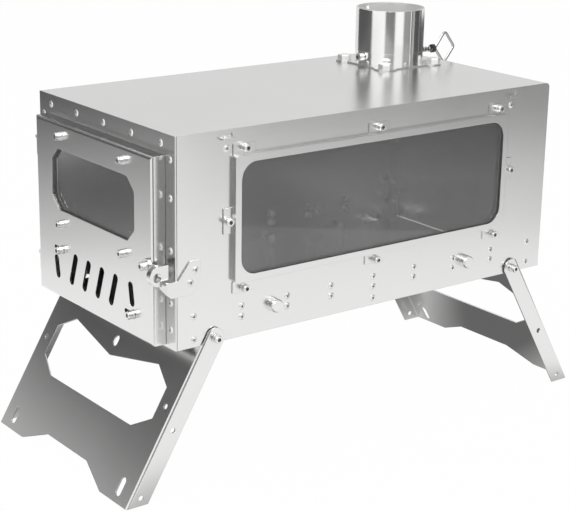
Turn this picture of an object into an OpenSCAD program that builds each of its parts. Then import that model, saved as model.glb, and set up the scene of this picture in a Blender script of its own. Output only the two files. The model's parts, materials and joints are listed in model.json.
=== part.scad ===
// Folding tent wood stove: sheet steel firebox with a side window, a glazed door,
// an air slide, a flue collar with a damper, and two folding legs.
// X runs across the stove, -Y is the door end, Z is up from the ground.

/* [Body] */
// Width over the two side panels
body_w = 200; // [185:1:230]
// Length from the front frame to the rear panel
body_l = 381; // [350:1:430]
// Height of the firebox without legs and collar
body_h = 163.5; // [155:0.5:185]
// Height of the firebox's underside above the ground
ground_gap = 116; // [100:1:130]
// Thickness of the body sheets
sheet_t = 1.2; // [0.8:0.1:1.5]
// Visible seam between two body sheets
seam_gap = 0.4; // [0.2:0.1:0.6]
// Outer radius of the top plate's bend over the rear edge
rear_bend_r = 4; // [2.5:0.5:6]
// Width of the inward flanges of the side panels
flange_w = 13; // [11:0.5:15]
// Depth of the top plate's side flanges
top_flange_h = 20; // [18:1:26]
// Depth of the top plate's front flange
front_lip_h = 13; // [11:1:15]

/* [Small screws] */
// Diameter of a small screw's head
screw_head_d = 5.8; // [5:0.1:6.4]
// Height of a small screw's domed head
screw_head_h = 0.9; // [0.6:0.1:1.2]
// Diameter of a small screw's shank
screw_d = 3; // [2.4:0.1:3.4]
// Radial clearance of every screw hole
hole_clear = 0.15; // [0.1:0.05:0.3]
// Width across the flats of a small inner nut
nut_flats = 5.5; // [5:0.1:6.5]
// Thickness of a small inner nut
nut_h = 2.4; // [1.8:0.1:3]
// Free thread beyond a nut
thread_l = 1.2; // [0.6:0.1:2]
// Distance of the front's side columns of screws from the edge
column_inset = 6.4; // [5.5:0.1:7.5]
// Distance of the front's top row of screws below the top
top_row_drop = 8; // [7:0.5:9]
// Distance of the outermost screws of the front's top row from the edge
top_row_inset = 18.7; // [16:0.1:22]
// Pitch of the screw pairs along a side panel
pair_pitch = 43.55; // [40:0.05:46]
// Height of the pairs' lower screws above the underside
pair_low = 16; // [15.5:0.1:17]
// Spacing of the two screws of a pair
pair_gap = 8.4; // [7:0.1:10]
// Height of the lowest screws of a side panel
low_screw_h = 6; // [5.5:0.1:7]
// Distance of the end screws of a side panel from its ends
end_inset = 16; // [13:0.5:18]
// Distance of the two upper screws of a side panel from the ends
upper_inset = 45; // [40:0.5:48]
// Distance of the two upper screws below the top
upper_drop = 14.3; // [12:0.1:16]

/* [Cap screws] */
// Diameter of a cap screw's head
cap_d = 6.4; // [5.6:0.1:7]
// Height of a cap screw's head
cap_h = 4.4; // [3:0.1:4.6]
// Diameter of a cap screw's shank
cap_shank_d = 3.6; // [3:0.1:4]
// Width across the flats of a cap screw's socket
socket_flats = 3; // [2:0.1:3.5]
// Depth of a cap screw's socket
socket_h = 1.8; // [1.2:0.1:2.4]

/* [Side bolts] */
// Diameter of a side bolt's round head
side_bolt_d = 10.8; // [9:0.1:12]
// Height of a side bolt's round head
side_bolt_h = 5.4; // [4:0.1:7]
// Diameter of a side bolt's shank
side_bolt_shank_d = 6; // [5:0.1:6.5]
// Distance of the side bolts from the middle of the body
side_bolt_y = 100.5; // [96:0.5:106]
// Height of the side bolts above the underside
side_bolt_z = 20; // [19.5:0.5:22]
// Outer diameter of a side bolt's washer
side_washer_d = 11.4; // [11:0.1:11.8]
// Thickness of every washer
washer_t = 0.8; // [0.5:0.1:1]

/* [Window] */
// Distance of the window frame from the ends of the body
window_inset = 50.7; // [48:0.1:56]
// Height of the window frame's lower edge above the underside
window_low = 44.7; // [42:0.1:50]
// Distance of the window frame's upper edge below the top
window_drop = 20.4; // [19.5:0.1:24]
// How far the window frame stands proud of the panel
window_rise = 4.5; // [4:0.1:5.5]
// Width of the window frame's front border
window_border = 5.4; // [4.5:0.1:7]
// Corner radius of the window opening
window_r = 13.5; // [10:0.5:16]
// Outer corner radius of the window frame
window_corner = 2.4; // [2:0.1:6]
// Thickness of the window frame sheet
window_t = 1; // [0.8:0.1:1.2]
// Length of a fixing ear of the window frame
ear_l = 20; // [14:0.5:20]
// Width of a fixing ear of the window frame
ear_w = 8.6; // [8.4:0.1:10]
// Distance of a fixing screw from the window frame's edge
ear_screw = 5.3; // [5.2:0.1:6]
// Distance of the end ears' screws from the window frame's ends
ear_end = 10; // [10:0.1:14]
// Thickness of the window gasket
gasket_t = 0.6; // [0.4:0.1:0.8]
// Overlap of the side glass behind the frame's border
glass_lap = 3.6; // [3:0.1:3.8]
// Thickness of the side glass
side_glass_t = 2.7; // [2.2:0.1:2.8]

/* [Hanging tabs] */
// Length of a pressed-out hanging tab
tab_l = 11; // [8:0.5:14]
// How far a hanging tab stands out
tab_out = 4; // [3:0.5:5]
// Height of the slot that a hanging tab leaves
tab_slot_h = 3; // [2.5:0.1:4]
// Distance of a hanging tab below the top
tab_drop = 3; // [2.5:0.1:4]
// Distance of a hanging tab from the ends of the body
tab_inset = 45; // [40:0.5:48]

/* [Door] */
// Distance of the door's side edges from the body's edge
door_side_gap = 13; // [12.6:0.1:15]
// Distance of the door's top edge below the body's top
door_top_gap = 16.2; // [15:0.1:18]
// Distance of the door's bottom edge above the underside
door_low_gap = 2; // [1:0.1:3]
// Depth of the door tray
door_depth = 11.2; // [10.5:0.1:12]
// Gap between the closed door and the front frame
door_gap = 0.3; // [0.2:0.1:0.5]
// Thickness of the door sheet
door_t = 1.2; // [0.8:0.1:1.4]
// Outer radius of the door's bent edges
door_bend_r = 2.4; // [2:0.1:3.5]
// Distance of the door's glass opening from the door's side edges
glazing_inset = 24.7; // [21:0.1:30]
// Height of the glass opening's lower edge above the door's bottom edge
glazing_low = 74.2; // [72:0.1:78]
// Corner cut of the door's glass opening
glazing_cut = 10.3; // [8:0.1:13]
// Distance of the glass opening below the door's top edge
glazing_drop = 20.9; // [20:0.1:24]
// Distance of the glass fixing screws from the ends of the opening
glazing_screw_inset = 15.1; // [12:0.1:20]
// Distance of the glass fixing screws above and below the opening
glazing_screw_gap = 10.9; // [9.5:0.1:11.5]
// Overlap of the door glass behind the opening
door_glass_lap = 5; // [4:0.1:5.6]
// Thickness of the door glass
door_glass_t = 3; // [2.5:0.1:3.2]
// Thickness of the door's inner glass retainer
retainer_t = 1; // [0.8:0.1:1.2]
// Metal of the retainer beyond its screws
retainer_edge = 4.2; // [3:0.1:5]
// Overlap of the front frame behind the door's edge
frame_lap = 9; // [7:0.5:10]

/* [Air slide] */
// Pitch of the leaning vent slots
vent_pitch = 20.3; // [18.5:0.1:21]
// Length of a leaning vent slot
vent_l = 28.5; // [24:0.1:30]
// Width of a vent slot
vent_w = 6.8; // [5:0.1:7.2]
// Lean of the four inner vent slots in degrees
vent_lean = 19.3; // [14:0.1:22]
// Length of the two outer vent slots
end_vent_l = 19.4; // [16:0.1:20]
// Lean of the two outer vent slots in degrees
end_vent_lean = -9; // [-12:0.5:-4]
// Distance of the outer vents from the door's side edges
end_vent_inset = 30.2; // [29:0.1:33]
// Least distance between an outer vent and the next one
end_vent_room = 24; // [22:0.1:26]
// Height of the vents' middle above the door's bottom edge
vent_z = 29.6; // [28.5:0.1:31]
// How much the outer vents sit lower on the left and higher on the right
end_vent_shift = 3.8; // [3:0.1:4.5]
// Travel of the air slide from open to shut
slide_travel = 10; // [9:0.1:11]
// Distance of the slide screws' slots from the outer vents towards the middle
slide_screw_inset = 8; // [7:0.1:9]
// Height of the slide screws above and below the vents' middle
slide_screw_z = 11.8; // [11:0.1:13]
// Thickness of the air slide
slide_t = 1; // [0.8:0.1:1.2]
// Gap between the air slide and the door sheet
slide_gap = 0.3; // [0.2:0.1:0.5]
// Metal left around the vents of the air slide
slide_border = 9; // [6:0.5:10]
// How far the air slide's slots reach beyond the vents on every side
slide_room = 1.4; // [1:0.1:1.6]

/* [Hinge] */
// Distance of the hinge axis from the body's edge
hinge_inset = 8.2; // [7.6:0.1:8.6]
// Distance of the hinge axis in front of the front frame
hinge_out = 5.6; // [5.2:0.1:6]
// Outer diameter of a hinge knuckle
knuckle_d = 5; // [4.6:0.1:6]
// Diameter of a hinge pin
pin_d = 2.6; // [2.4:0.1:3]
// Diameter of a hinge pin's head
pin_head_d = 6.6; // [6:0.1:7.4]
// Height of a hinge pin's head
pin_head_h = 2.2; // [1.5:0.1:3]
// Length of one hinge
hinge_l = 13.5; // [12:0.1:15]
// Thickness of the hinge leaves
leaf_t = 1.2; // [1:0.1:1.4]
// Radial running clearance of the hinge pins
pin_clear = 0.06; // [0.03:0.01:0.1]
// Axial gap between two knuckles
knuckle_gap = 0.3; // [0.2:0.05:0.5]

/* [Latch] */
// Distance of the latch pivot inside the door's free edge
latch_inset = 5; // [4.9:0.1:5.3]
// Height of the latch pivot above the door's bottom edge
latch_z = 63; // [58:0.5:66]
// Gap between the door's free edge and the latch block
block_gap = 5; // [4.6:0.1:5.6]
// Thickness of the latch block across the stove
block_w = 5; // [4:0.1:5.4]
// Length of the latch block from front to back
block_l = 16; // [15:0.1:17]
// Height of the latch block
block_h = 15.5; // [14.5:0.1:16]
// Radius of the latch block's front corners
block_r = 7.5; // [5:0.1:7.7]
// Height of the latch block's top above the pivot
block_rise = 2.5; // [2:0.1:2.8]
// Diameter of the latch block's cross hole
block_hole_d = 7; // [5:0.1:7.6]
// Thickness of the latch arm
latch_arm_t = 2.4; // [2:0.1:3]
// Outer diameter of the latch arm's hub
latch_hub_d = 10.4; // [9:0.1:12]
// Gap between the latch block and the front frame
block_back_gap = 4; // [3.6:0.1:4.4]
// Thickness of the latch block's tongue
tongue_t = 2; // [1.6:0.1:2.2]
// How far the tongue reaches below the block
tongue_drop = 2; // [1.5:0.1:2.2]
// Thickness of the catch bracket
catch_t = 1.5; // [1.2:0.1:1.6]
// Height of the catch bracket's arm
catch_arm_h = 12.5; // [11:0.1:14]
// How far the catch bracket's arm reaches in front of the front frame
catch_out = 8.8; // [8.5:0.1:9.2]
// Gap between the catch bracket's top edge and the notch above it
catch_gap = 1; // [0.8:0.1:1.5]

/* [Legs] */
// Distance of a leg pivot from the end of the body
leg_inset = 34.3; // [32:0.1:38]
// Height of a leg pivot above the underside
leg_pivot_z = 4.3; // [4:0.1:5]
// Width of a leg's side flange
leg_flange_w = 16.5; // [15:0.1:16.6]
// Lean of a standing leg from the vertical in degrees
leg_lean = 30.5; // [27:0.5:33]
// Thickness of the leg sheet
leg_t = 1.2; // [1:0.1:1.5]
// Inner bend radius of a leg
leg_bend_r = 1.2; // [0.8:0.1:2]
// Gap between a leg's flange and the side panel, filled by a washer
leg_gap = 1.1; // [1:0.1:1.4]
// Gap between a standing leg's plate and the underside
leg_stop_gap = 0.3; // [0.2:0.1:0.5]
// Half width of the leg opening at its widest
leg_open_w = 84; // [76:0.5:88]
// Half width of the leg opening at its peaks and at its base
leg_open_peak = 63; // [58:0.5:68]
// Distance of the leg opening's peaks from the pivot
leg_open_top = 37; // [34:0.5:40]
// Distance of the leg opening's middle point from the pivot
leg_open_mid = 49.5; // [46:0.5:54]
// Distance of the leg opening's base from the pivot
leg_open_base = 88.5; // [82:0.5:92]
// Height of the leg opening's upright sides
leg_open_side = 26; // [20:0.5:30]
// Half width of the arch between the feet at the ground
arch_w = 62.8; // [58:0.5:68]
// Half width of the arch between the feet at its top
arch_top_w = 31.5; // [26:0.5:36]
// Height of the arch between the feet above the ground
arch_h = 14; // [11:0.5:18]
// Length of a peg slot in a foot
foot_slot_l = 15.5; // [12:0.5:17]
// Width of a peg slot in a foot
foot_slot_w = 6.6; // [5:0.1:8]
// Distance of a foot slot from the middle
foot_slot_x = 84.3; // [80:0.1:88]
// Height of a foot slot's middle above the ground along the leg
foot_slot_up = 12.5; // [11:0.1:14]
// Diameter of the small holes in a leg
leg_hole_d = 4.4; // [3.5:0.1:5.5]
// Length of the small middle slot of a leg
mid_slot_l = 9; // [7:0.1:11]
// Width of the small middle slot of a leg
mid_slot_w = 6; // [4:0.1:6.5]

/* [Flue] */
// Distance of the flue axis from the middle towards the plain side
flue_x = 48.4; // [44:0.1:52]
// Distance of the flue axis from the rear of the body
flue_inset = 53.7; // [50:0.1:58]
// Bore of the flue collar
collar_bore_d = 60; // [57:0.5:61]
// Wall of the flue collar
collar_t = 0.7; // [0.5:0.1:1]
// How much the collar is set in below its pipe seat
collar_step = 0.35; // [0.35:0.05:0.4]
// Height of the flue collar above the top plate
collar_h = 50; // [44:0.5:60]
// Half width of the collar's flange plate
collar_flange = 36.5; // [35.5:0.1:38]
// Thickness of the collar's flange plate
collar_flange_t = 1.2; // [0.8:0.1:1.6]
// Corner cut of the collar's flange plate
flange_cut = 6; // [4:0.1:7]
// Length of an ear of the flange plate along its side
flange_ear = 14; // [13:0.1:16]
// Recess of the flange plate between its ears
flange_recess = 3.6; // [2:0.1:3.8]
// Half distance between two flange bolts
flange_bolt_x = 28.5; // [28:0.1:29.5]
// Width across the corners of a flange bolt's head
flange_bolt_d = 12.4; // [11:0.1:13]
// Height of a flange bolt's head
flange_bolt_h = 4.6; // [4:0.1:6]
// Diameter of a flange bolt's shank
flange_shank_d = 5; // [4:0.1:5.5]
// Diameter of a collar rivet's head
rivet_d = 3.6; // [3:0.1:4.2]
// Height of a collar rivet's head
rivet_h = 1; // [0.7:0.1:1.3]
// Angle between a collar rivet and the nearest axis in degrees
rivet_turn = 11; // [10:0.5:14]

/* [Damper] */
// Height of the damper shaft above the top plate
damper_z = 8; // [7.6:0.1:10]
// Diameter of the damper shaft
shaft_d = 2.8; // [2.4:0.1:3]
// Radial running clearance of the damper shaft
shaft_clear = 0.08; // [0.04:0.01:0.1]
// Thickness of the damper blade
blade_t = 1; // [0.8:0.1:1.4]
// Gap between the damper blade and the collar
blade_gap = 1.2; // [0.8:0.1:2]
// Length of the damper spring
spring_l = 20.5; // [18:0.5:24]
// Mean radius of the damper spring
spring_r = 2.1; // [2:0.05:2.4]
// Wire diameter of the damper spring
spring_wire = 0.9; // [0.7:0.05:0.9]
// Number of curls of the damper spring
spring_turns = 11; // [9:1:11]
// Diameter of the dark washer between spring and handle
stop_d = 7.6; // [6.5:0.1:8.5]
// Thickness of the dark washer
stop_t = 3; // [2:0.1:3.6]
// Length of the diamond-shaped handle along the shaft
handle_l = 26; // [22:0.5:30]
// Half height of the diamond-shaped handle
handle_half = 16; // [13:0.5:18]
// Wire diameter of the handle
handle_wire = 2.6; // [2:0.1:3]
// Diameter of the shaft's end nut
end_nut_d = 6.4; // [5.5:0.1:7]
// Thickness of the shaft's end nut
end_nut_h = 5; // [4:0.1:6]

/* [Baffle] */
// Drop of the flame baffle below the top plate's surface
baffle_drop = 32; // [29:0.5:36]
// Half width of the flame baffle
baffle_half = 36; // [34:0.5:38]
// Outer diameter of a baffle spacer tube
spacer_d = 8; // [7:0.1:9]

/* [Hidden] */
$fn = 48;
steel = "gainsboro";
bright = "whitesmoke";
smoke = [0.2, 0.2, 0.22, 0.6];

// Overrun of every cut past the faces it goes through
over = 0.5;
half_w = body_w / 2;
half_l = body_l / 2;
base_z = ground_gap;
top_z = base_z + body_h;
inner_x = half_w - sheet_t;

// Screw columns of the front as shares of the body's height, free side and hinge side
column_shares = [0.092, 0.222, 0.469, 0.713, 0.889];
hinge_column_shares = [0.05, 0.27, 0.44, 0.624, 0.893];
top_row_pitch = (body_w - 2 * top_row_inset) / 4;
floor_pitch = (half_l - 2 * leg_inset) * 2 / 3;

// Room between the upright flanges at the front and at the rear
flange_y0 = -half_l + 2 * sheet_t + 2 * seam_gap;
flange_y1 = half_l - 3 * sheet_t - seam_gap;
// Height of the floor tray's sides
tray_h = pair_low + pair_gap + screw_head_d;
// Length of the cut-outs for the leg pivots' nuts
notch_l = cap_d * 2;
// Play of loosely stacked pieces
play = 0.2;
// Edge of a side bolt's head, and its nut across the flats
edge_cut = 0.8;
side_bolt_nut = 9;

// Door tray
door_w = body_w - 2 * door_side_gap;
door_z0 = base_z + door_low_gap;
door_z1 = top_z - door_top_gap;
door_h = door_z1 - door_z0;
door_back_y = -half_l - door_gap;
door_face_y = door_back_y - door_depth;
door_inner_y = door_face_y + door_t;
glazing_w = door_w - 2 * glazing_inset;
glazing_h = door_h - glazing_drop - glazing_low;
glazing_z = door_z0 + glazing_low + glazing_h / 2;
glass_back_y = door_inner_y + door_glass_t + slide_gap;
retainer_back_y = glass_back_y + retainer_t + slide_gap;
vent_mid_z = door_z0 + vent_z;
slide_y0 = door_inner_y + slide_gap;
slide_y1 = slide_y0 + slide_t;
end_vent_x = door_w / 2 - end_vent_inset;
slide_screw_x = end_vent_x - slide_screw_inset;
// Half the number of the inner vents
vent_pairs = floor((end_vent_x - end_vent_room) / vent_pitch + 0.5);
slide_half_h = vent_l * cos(vent_lean) / 2 + vent_w / 2 + slide_room + seam_gap;

// Window
window_l = body_l - 2 * window_inset;
window_z0 = base_z + window_low;
window_z1 = top_z - window_drop;
window_h = window_z1 - window_z0;
window_z = (window_z0 + window_z1) / 2;
// The panel's own opening is a little wider than the frame's
panel_open_l = window_l - 2 * window_border + window_t;
panel_open_h = window_h - 2 * window_border + window_t;
side_glass_l = window_l - 2 * window_border + 2 * glass_lap;
side_glass_h = window_h - 2 * window_border + 2 * glass_lap;

// Hinge
hinge_x = -half_w + hinge_inset;
hinge_y = -half_l - hinge_out;
// Tops of the two hinges as shares of the body's height
hinge_top_shares = [0.18, 0.777];
// Share of a hinge's length that the middle knuckle takes
knuckle_share = 0.44;
middle_knuckle_l = hinge_l * knuckle_share;
knuckle_l = (hinge_l - middle_knuckle_l) / 2 - knuckle_gap;
// Half width of a frame leaf's foot and half height of a door lug's foot, in knuckle diameters
foot_share = 0.65;

// Latch
door_edge_x = door_w / 2;
latch_x = door_edge_x - latch_inset;
pivot_z = door_z0 + latch_z;
arm_y1 = door_face_y - play;
arm_y0 = arm_y1 - latch_arm_t;
latch_arm_h = 2 * block_rise + cap_shank_d;
block_x0 = door_edge_x + block_gap;
block_y1 = -half_l - block_back_gap;
block_y0 = block_y1 - block_l;
block_z1 = pivot_z + block_rise;
block_z0 = block_z1 - block_h;
catch_y0 = -half_l - catch_out;
catch_y1 = catch_y0 + catch_t;
// Height of the catch's top edge in the latch block
catch_share = 0.2;
catch_z1 = block_z0 + catch_share * block_h;
notch_z = catch_z1 + catch_gap;
// Middle of the cross hole in the latch block, from its lower front corner
block_hole_shares = [0.4, 0.46];
// Width of the latch block's tongue in the block's width
tongue_share = 0.44;
// Outline of the catch bracket, in reaches of its arm and heights of its arm
catch_shares = [[-1, 0], [0.19, 0], [1.4, 1.04], [2.4, 1.04], [2.4, 0.25], [1.9, -0.7], [1.5, -1], [-0.5, -1],
    [-1, -0.72]];
// Lower corner of the catch arm's tip in the same shares, and the cut of its upper corner
catch_tip_share = -0.5;
catch_tip_cut = 1.5;
// Places of the catch bracket's screws in the same shares
catch_screw_shares = [[1.9, 0.5], [1.4, -0.25]];

// Leg
leg_y = half_l - leg_inset;
leg_z = base_z + leg_pivot_z;
leg_r = leg_flange_w / 2;
leg_x0 = half_w + leg_gap;
leg_x1 = leg_x0 + leg_t;
leg_reach = (leg_z + leg_r * sin(leg_lean)) / cos(leg_lean);
leg_hole_x = (leg_open_w + leg_x0) / 2;
// Places of the two small holes along a leg's flange
flange_hole_shares = [0.528, 0.917];
// Diameter of a leg washer in the width of the flange
leg_washer_share = 0.7;
plate_top = (leg_pivot_z + leg_r * sin(leg_lean) + leg_stop_gap) / cos(leg_lean);

// Flue
flue_y = half_l - flue_inset;
collar_r = collar_bore_d / 2 + collar_t;
// Height of the collar's pipe seat above the top plate
collar_seat_z = damper_z + stop_d / 2 + play;
shaft_z = top_z + damper_z;
spring_y0 = flue_y + collar_r + play;
stop_y = spring_y0 + spring_l;
handle_y = stop_y + stop_t;
baffle_z = top_z - baffle_drop;
neck_r = collar_bore_d / 2 - collar_flange_t;
neck_h = damper_z - shaft_d / 2 - collar_t;
// Half width of the flange plate's recesses
flange_notch_y = collar_flange - flange_ear - flange_recess;
flange_nut = 8;
// Rivets and rim hole of the collar
rivet_z = collar_flange_t + rivet_d / 2 + play;
rivet_shank_d = 2;
rivet_seat_r = sqrt(pow(neck_r, 2) - pow(rivet_d / 2, 2)) - pin_clear;
rim_hole_turn = 182;
rim_hole_drop = 4;
// Damper
blade_r = neck_r - blade_gap;
saddle_l = 7;
nut_y = flue_y - collar_r - play - end_nut_h;
// Corners of the handle, along the shaft and upwards
handle_shares = [[0, 0], [0.5, 1], [1, 0], [0.5, -1]];
// Welded corners of the handle in wire diameters
weld_share = 1.1;
spring_rings = 8;
spring_sides = 6;

// Places of the small screws of a side panel, as [y, z]
function side_places() = concat(
    [for (i = [-3:3]) for (z = [pair_low, pair_low + pair_gap]) [i * pair_pitch, base_z + z]],
    [for (s = [-1, 1]) for (z = [low_screw_h, pair_low + pair_gap]) [s * (half_l - end_inset), base_z + z]],
    [for (s = [-1, 1]) [s * (half_l - upper_inset), top_z - upper_drop]],
    [[0, base_z + low_screw_h]]
);

// Places of the window's cap screws, as [y, z]
function window_places() = concat(
    [for (s = [-1, 0, 1]) [s * (window_l / 2 - ear_end), window_z1 + ear_screw]],
    [for (s = [-1, 0, 1]) [s * (window_l / 2 - ear_end), window_z0 - ear_screw]],
    [for (s = [-1, 1]) [s * (window_l / 2 + ear_screw), window_z]]
);

// Places of the screws below the top plate's front and rear edge, as [x, z]
function top_row() = [for (i = [-2:2]) [i * top_row_pitch, top_z - top_row_drop]];

// Places of the front's screws, as [x, z]
function front_places() = concat(
    top_row(),
    [for (k = column_shares) [half_w - column_inset, base_z + k * body_h]],
    [for (k = hinge_column_shares) [-half_w + column_inset, base_z + k * body_h]]
);

// Places of the rear's screws, as [x, z]
function rear_places() = [
    for (s = [-1, 1]) for (k = column_shares) [s * (half_w - column_inset - sheet_t), base_z + k * body_h]
];

// Places of the floor's screws, as [x, y]
function floor_places() = [
    for (s = [-1, 1]) for (i = [-1.5:1.5]) [s * (inner_x - flange_w / 2), i * floor_pitch]
];

// Places of the door's glass fixing screws, as [x, z]
function retainer_places() = [
    for (sx = [-1, 1]) for (sz = [-1, 1])
        [sx * (glazing_w / 2 - glazing_screw_inset), glazing_z + sz * (glazing_h / 2 + glazing_screw_gap)]
];

// Places of the air slide's screws with the slide open, as [x, z]
function slide_places() = [
    [-slide_screw_x, vent_mid_z + slide_screw_z],
    [slide_screw_x + slide_travel, vent_mid_z - slide_screw_z]
];

// Angles of the collar's rivets
function rivet_angles() = [rivet_turn - 90, -rivet_turn, 90 + rivet_turn, 180 - rivet_turn];

// Places of the catch bracket's screws, as [y, z]
function catch_places() = [for (k = catch_screw_shares)
    [catch_out * k.x - half_l, catch_z1 + catch_arm_h * k.y]];

// Turns a shape so that its own Z points along X, its X along Y and its Y along Z
module toward_x() rotate([90, 0, 90]) children();

// Turns a shape so that its own Z points along -Y and its Y along Z
module toward_front() rotate([90, 0, 0]) children();

// Turns a shape so that its own Z points along +Y and its Y along -Z
module toward_back() rotate([-90, 0, 0]) children();

// Rectangle with round corners, centred
module rounded_rect(w, h, r) {
    square([w - 2 * r, h], center = true);
    square([w, h - 2 * r], center = true);
    for (sx = [-1, 1]) for (sy = [-1, 1])
        translate([sx * (w / 2 - r), sy * (h / 2 - r)]) circle(r);
}

// Slot with round ends, centred, along its own Y
module slot(l, w) {
    square([w, l - w], center = true);
    for (s = [-1, 1]) translate([0, s * (l - w) / 2]) circle(d = w);
}

// Round holes in a flat shape
module holes(places, d) {
    for (p = places) translate(p) circle(d = d + 2 * hole_clear);
}

// Hexagon nut on a shank, below z = -grip
module nut_end(grip, d, flats) {
    translate([0, 0, -grip - nut_h]) cylinder(d = flats / cos(30), h = nut_h, $fn = 6);
    translate([0, 0, -grip - nut_h - thread_l]) cylinder(d = d, h = nut_h + thread_l + grip + over);
}

// Small domed screw: head above z = 0, shank and nut below
module small_screw(grip) {
    cylinder(d = screw_head_d, h = screw_head_h / 2);
    translate([0, 0, screw_head_h / 2])
        cylinder(d1 = screw_head_d, d2 = screw_head_d - 2 * screw_head_h, h = screw_head_h / 2);
    nut_end(grip, screw_d, nut_flats);
}

// Cap screw with a washer and a hexagon socket: head above z = 0, shank and nut below
module cap_screw(grip) {
    cylinder(d = cap_d + washer_t, h = washer_t);
    difference() {
        cylinder(d = cap_d, h = washer_t + cap_h);
        translate([0, 0, washer_t + cap_h - socket_h])
            cylinder(d = socket_flats / cos(30), h = socket_h + over, $fn = 6);
    }
    nut_end(grip, cap_shank_d, nut_flats + cap_shank_d - screw_d);
}

// Outline of a side panel, in Y and Z
module side_outline() {
    y0 = -half_l + sheet_t + seam_gap;
    translate([y0, base_z]) square([half_l - y0, body_h - rear_bend_r]);
    translate([y0, base_z]) square([half_l - rear_bend_r - y0, body_h]);
    translate([half_l - rear_bend_r, top_z - rear_bend_r]) circle(rear_bend_r);
}

// Side panel on the +X side, with its inward flanges and its two pressed-out tabs
module side_panel(window) {
    y0 = -half_l + sheet_t + seam_gap;
    y1 = half_l - 2 * sheet_t;
    x0 = inner_x - flange_w;
    lip_z = top_z - sheet_t - seam_gap;
    difference() {
        union() {
            translate([inner_x, 0, 0]) toward_x() linear_extrude(sheet_t) side_outline();
            translate([x0, y0, base_z]) cube([flange_w + sheet_t / 2, y1 - y0, sheet_t]);
            translate([x0, y0, base_z])
                cube([flange_w + sheet_t / 2, sheet_t, lip_z - front_lip_h - base_z]);
            translate([x0, y1 - sheet_t, base_z])
                cube([flange_w + sheet_t / 2, sheet_t, lip_z - front_lip_h - base_z]);
        }
        translate([inner_x - over, 0, 0]) toward_x() linear_extrude(sheet_t + 2 * over) {
            holes(side_places(), screw_d);
            holes([for (s = [-1, 1]) [s * side_bolt_y, base_z + side_bolt_z]], side_bolt_shank_d);
            holes([for (s = [-1, 1]) [s * leg_y, leg_z]], cap_shank_d);
            for (s = [-1, 1]) translate([s * (half_l - tab_inset), top_z - tab_drop - tab_slot_h / 2])
                square([tab_l, tab_slot_h], center = true);
            if (window) {
                holes(window_places(), cap_shank_d);
                holes(catch_places(), screw_d);
                translate([0, window_z]) rounded_rect(panel_open_l, panel_open_h, window_r);
            }
        }
        for (s = [-1, 1]) translate([x0 - over, s * leg_y - notch_l / 2, base_z - over])
            cube([flange_w + over, notch_l, sheet_t + 2 * over]);
        translate([0, y0 + 2 * sheet_t, 0]) toward_front() linear_extrude(4 * sheet_t)
            holes([for (p = front_places()) [(window ? 1 : -1) * p.x, p.y]], screw_d);
        translate([0, y1 + 2 * sheet_t, 0]) toward_front() linear_extrude(4 * sheet_t)
            holes(rear_places(), screw_d);
        translate([0, 0, base_z - over]) linear_extrude(sheet_t + 2 * over) holes(floor_places(), screw_d);
    }
    for (s = [-1, 1]) translate([
        inner_x, s * (half_l - tab_inset) - tab_l / 2, top_z - tab_drop - tab_slot_h - sheet_t
    ]) cube([sheet_t + tab_out, tab_l, sheet_t]);
}

module top_plate() color(steel) difference() {
    union() {
        translate([-inner_x, 0, 0]) toward_x() linear_extrude(2 * inner_x) {
            y0 = -half_l + sheet_t;
            translate([y0, top_z - sheet_t]) square([half_l - rear_bend_r - y0, sheet_t]);
            translate([y0, top_z - front_lip_h]) square([sheet_t, front_lip_h]);
            translate([half_l - sheet_t, top_z - front_lip_h]) square([sheet_t, front_lip_h - rear_bend_r]);
            translate([half_l - rear_bend_r, top_z - rear_bend_r]) intersection() {
                difference() {
                    circle(rear_bend_r);
                    circle(rear_bend_r - sheet_t);
                }
                square(rear_bend_r);
            }
        }
        for (s = [-1, 1])
            translate([s * (inner_x - sheet_t / 2) - sheet_t / 2, flange_y0, top_z - top_flange_h])
                cube([sheet_t, flange_y1 - flange_y0, top_flange_h - sheet_t / 2]);
    }
    translate([-flue_x, flue_y, top_z - sheet_t - over]) {
        cylinder(r = neck_r, h = sheet_t + 2 * over);
        for (sx = [-1, 1]) for (sy = [-1, 1]) translate([sx * flange_bolt_x, sy * flange_bolt_x, 0])
            cylinder(d = flange_shank_d + 2 * hole_clear, h = sheet_t + 2 * over);
    }
    translate([0, -half_l + 2 * sheet_t + over, 0]) toward_front() linear_extrude(2 * sheet_t)
        holes(top_row(), screw_d);
    translate([0, half_l + over, 0]) toward_front() linear_extrude(2 * sheet_t) holes(top_row(), screw_d);
    for (s = [-1, 1]) translate([s * inner_x - 2 * sheet_t, 0, 0])
        toward_x() linear_extrude(4 * sheet_t) holes(side_places(), screw_d);
    translate([inner_x - 2 * sheet_t, 0, 0])
        toward_x() linear_extrude(4 * sheet_t) holes(window_places(), cap_shank_d);
}

module side_panel_window() color(bright) side_panel(true);

module side_panel_plain() color(bright) mirror([1, 0, 0]) side_panel(false);

module front_frame() color(steel) difference() {
    translate([-half_w, -half_l, base_z]) cube([body_w, sheet_t, body_h]);
    translate([0, -half_l + sheet_t + over, 0]) toward_front() linear_extrude(sheet_t + 2 * over) {
        translate([-door_w / 2 + frame_lap, door_z0 + frame_lap])
            square([door_w - 2 * frame_lap, door_h - 2 * frame_lap]);
        holes(front_places(), screw_d);
    }
}

module rear_panel() color(steel) difference() {
    translate([-inner_x, half_l - 2 * sheet_t, base_z + sheet_t])
        cube([2 * inner_x, sheet_t, body_h - rear_bend_r - sheet_t]);
    translate([0, half_l - sheet_t + over, 0]) toward_front() linear_extrude(sheet_t + 2 * over) {
        holes(top_row(), screw_d);
        holes(rear_places(), screw_d);
    }
}

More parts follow.
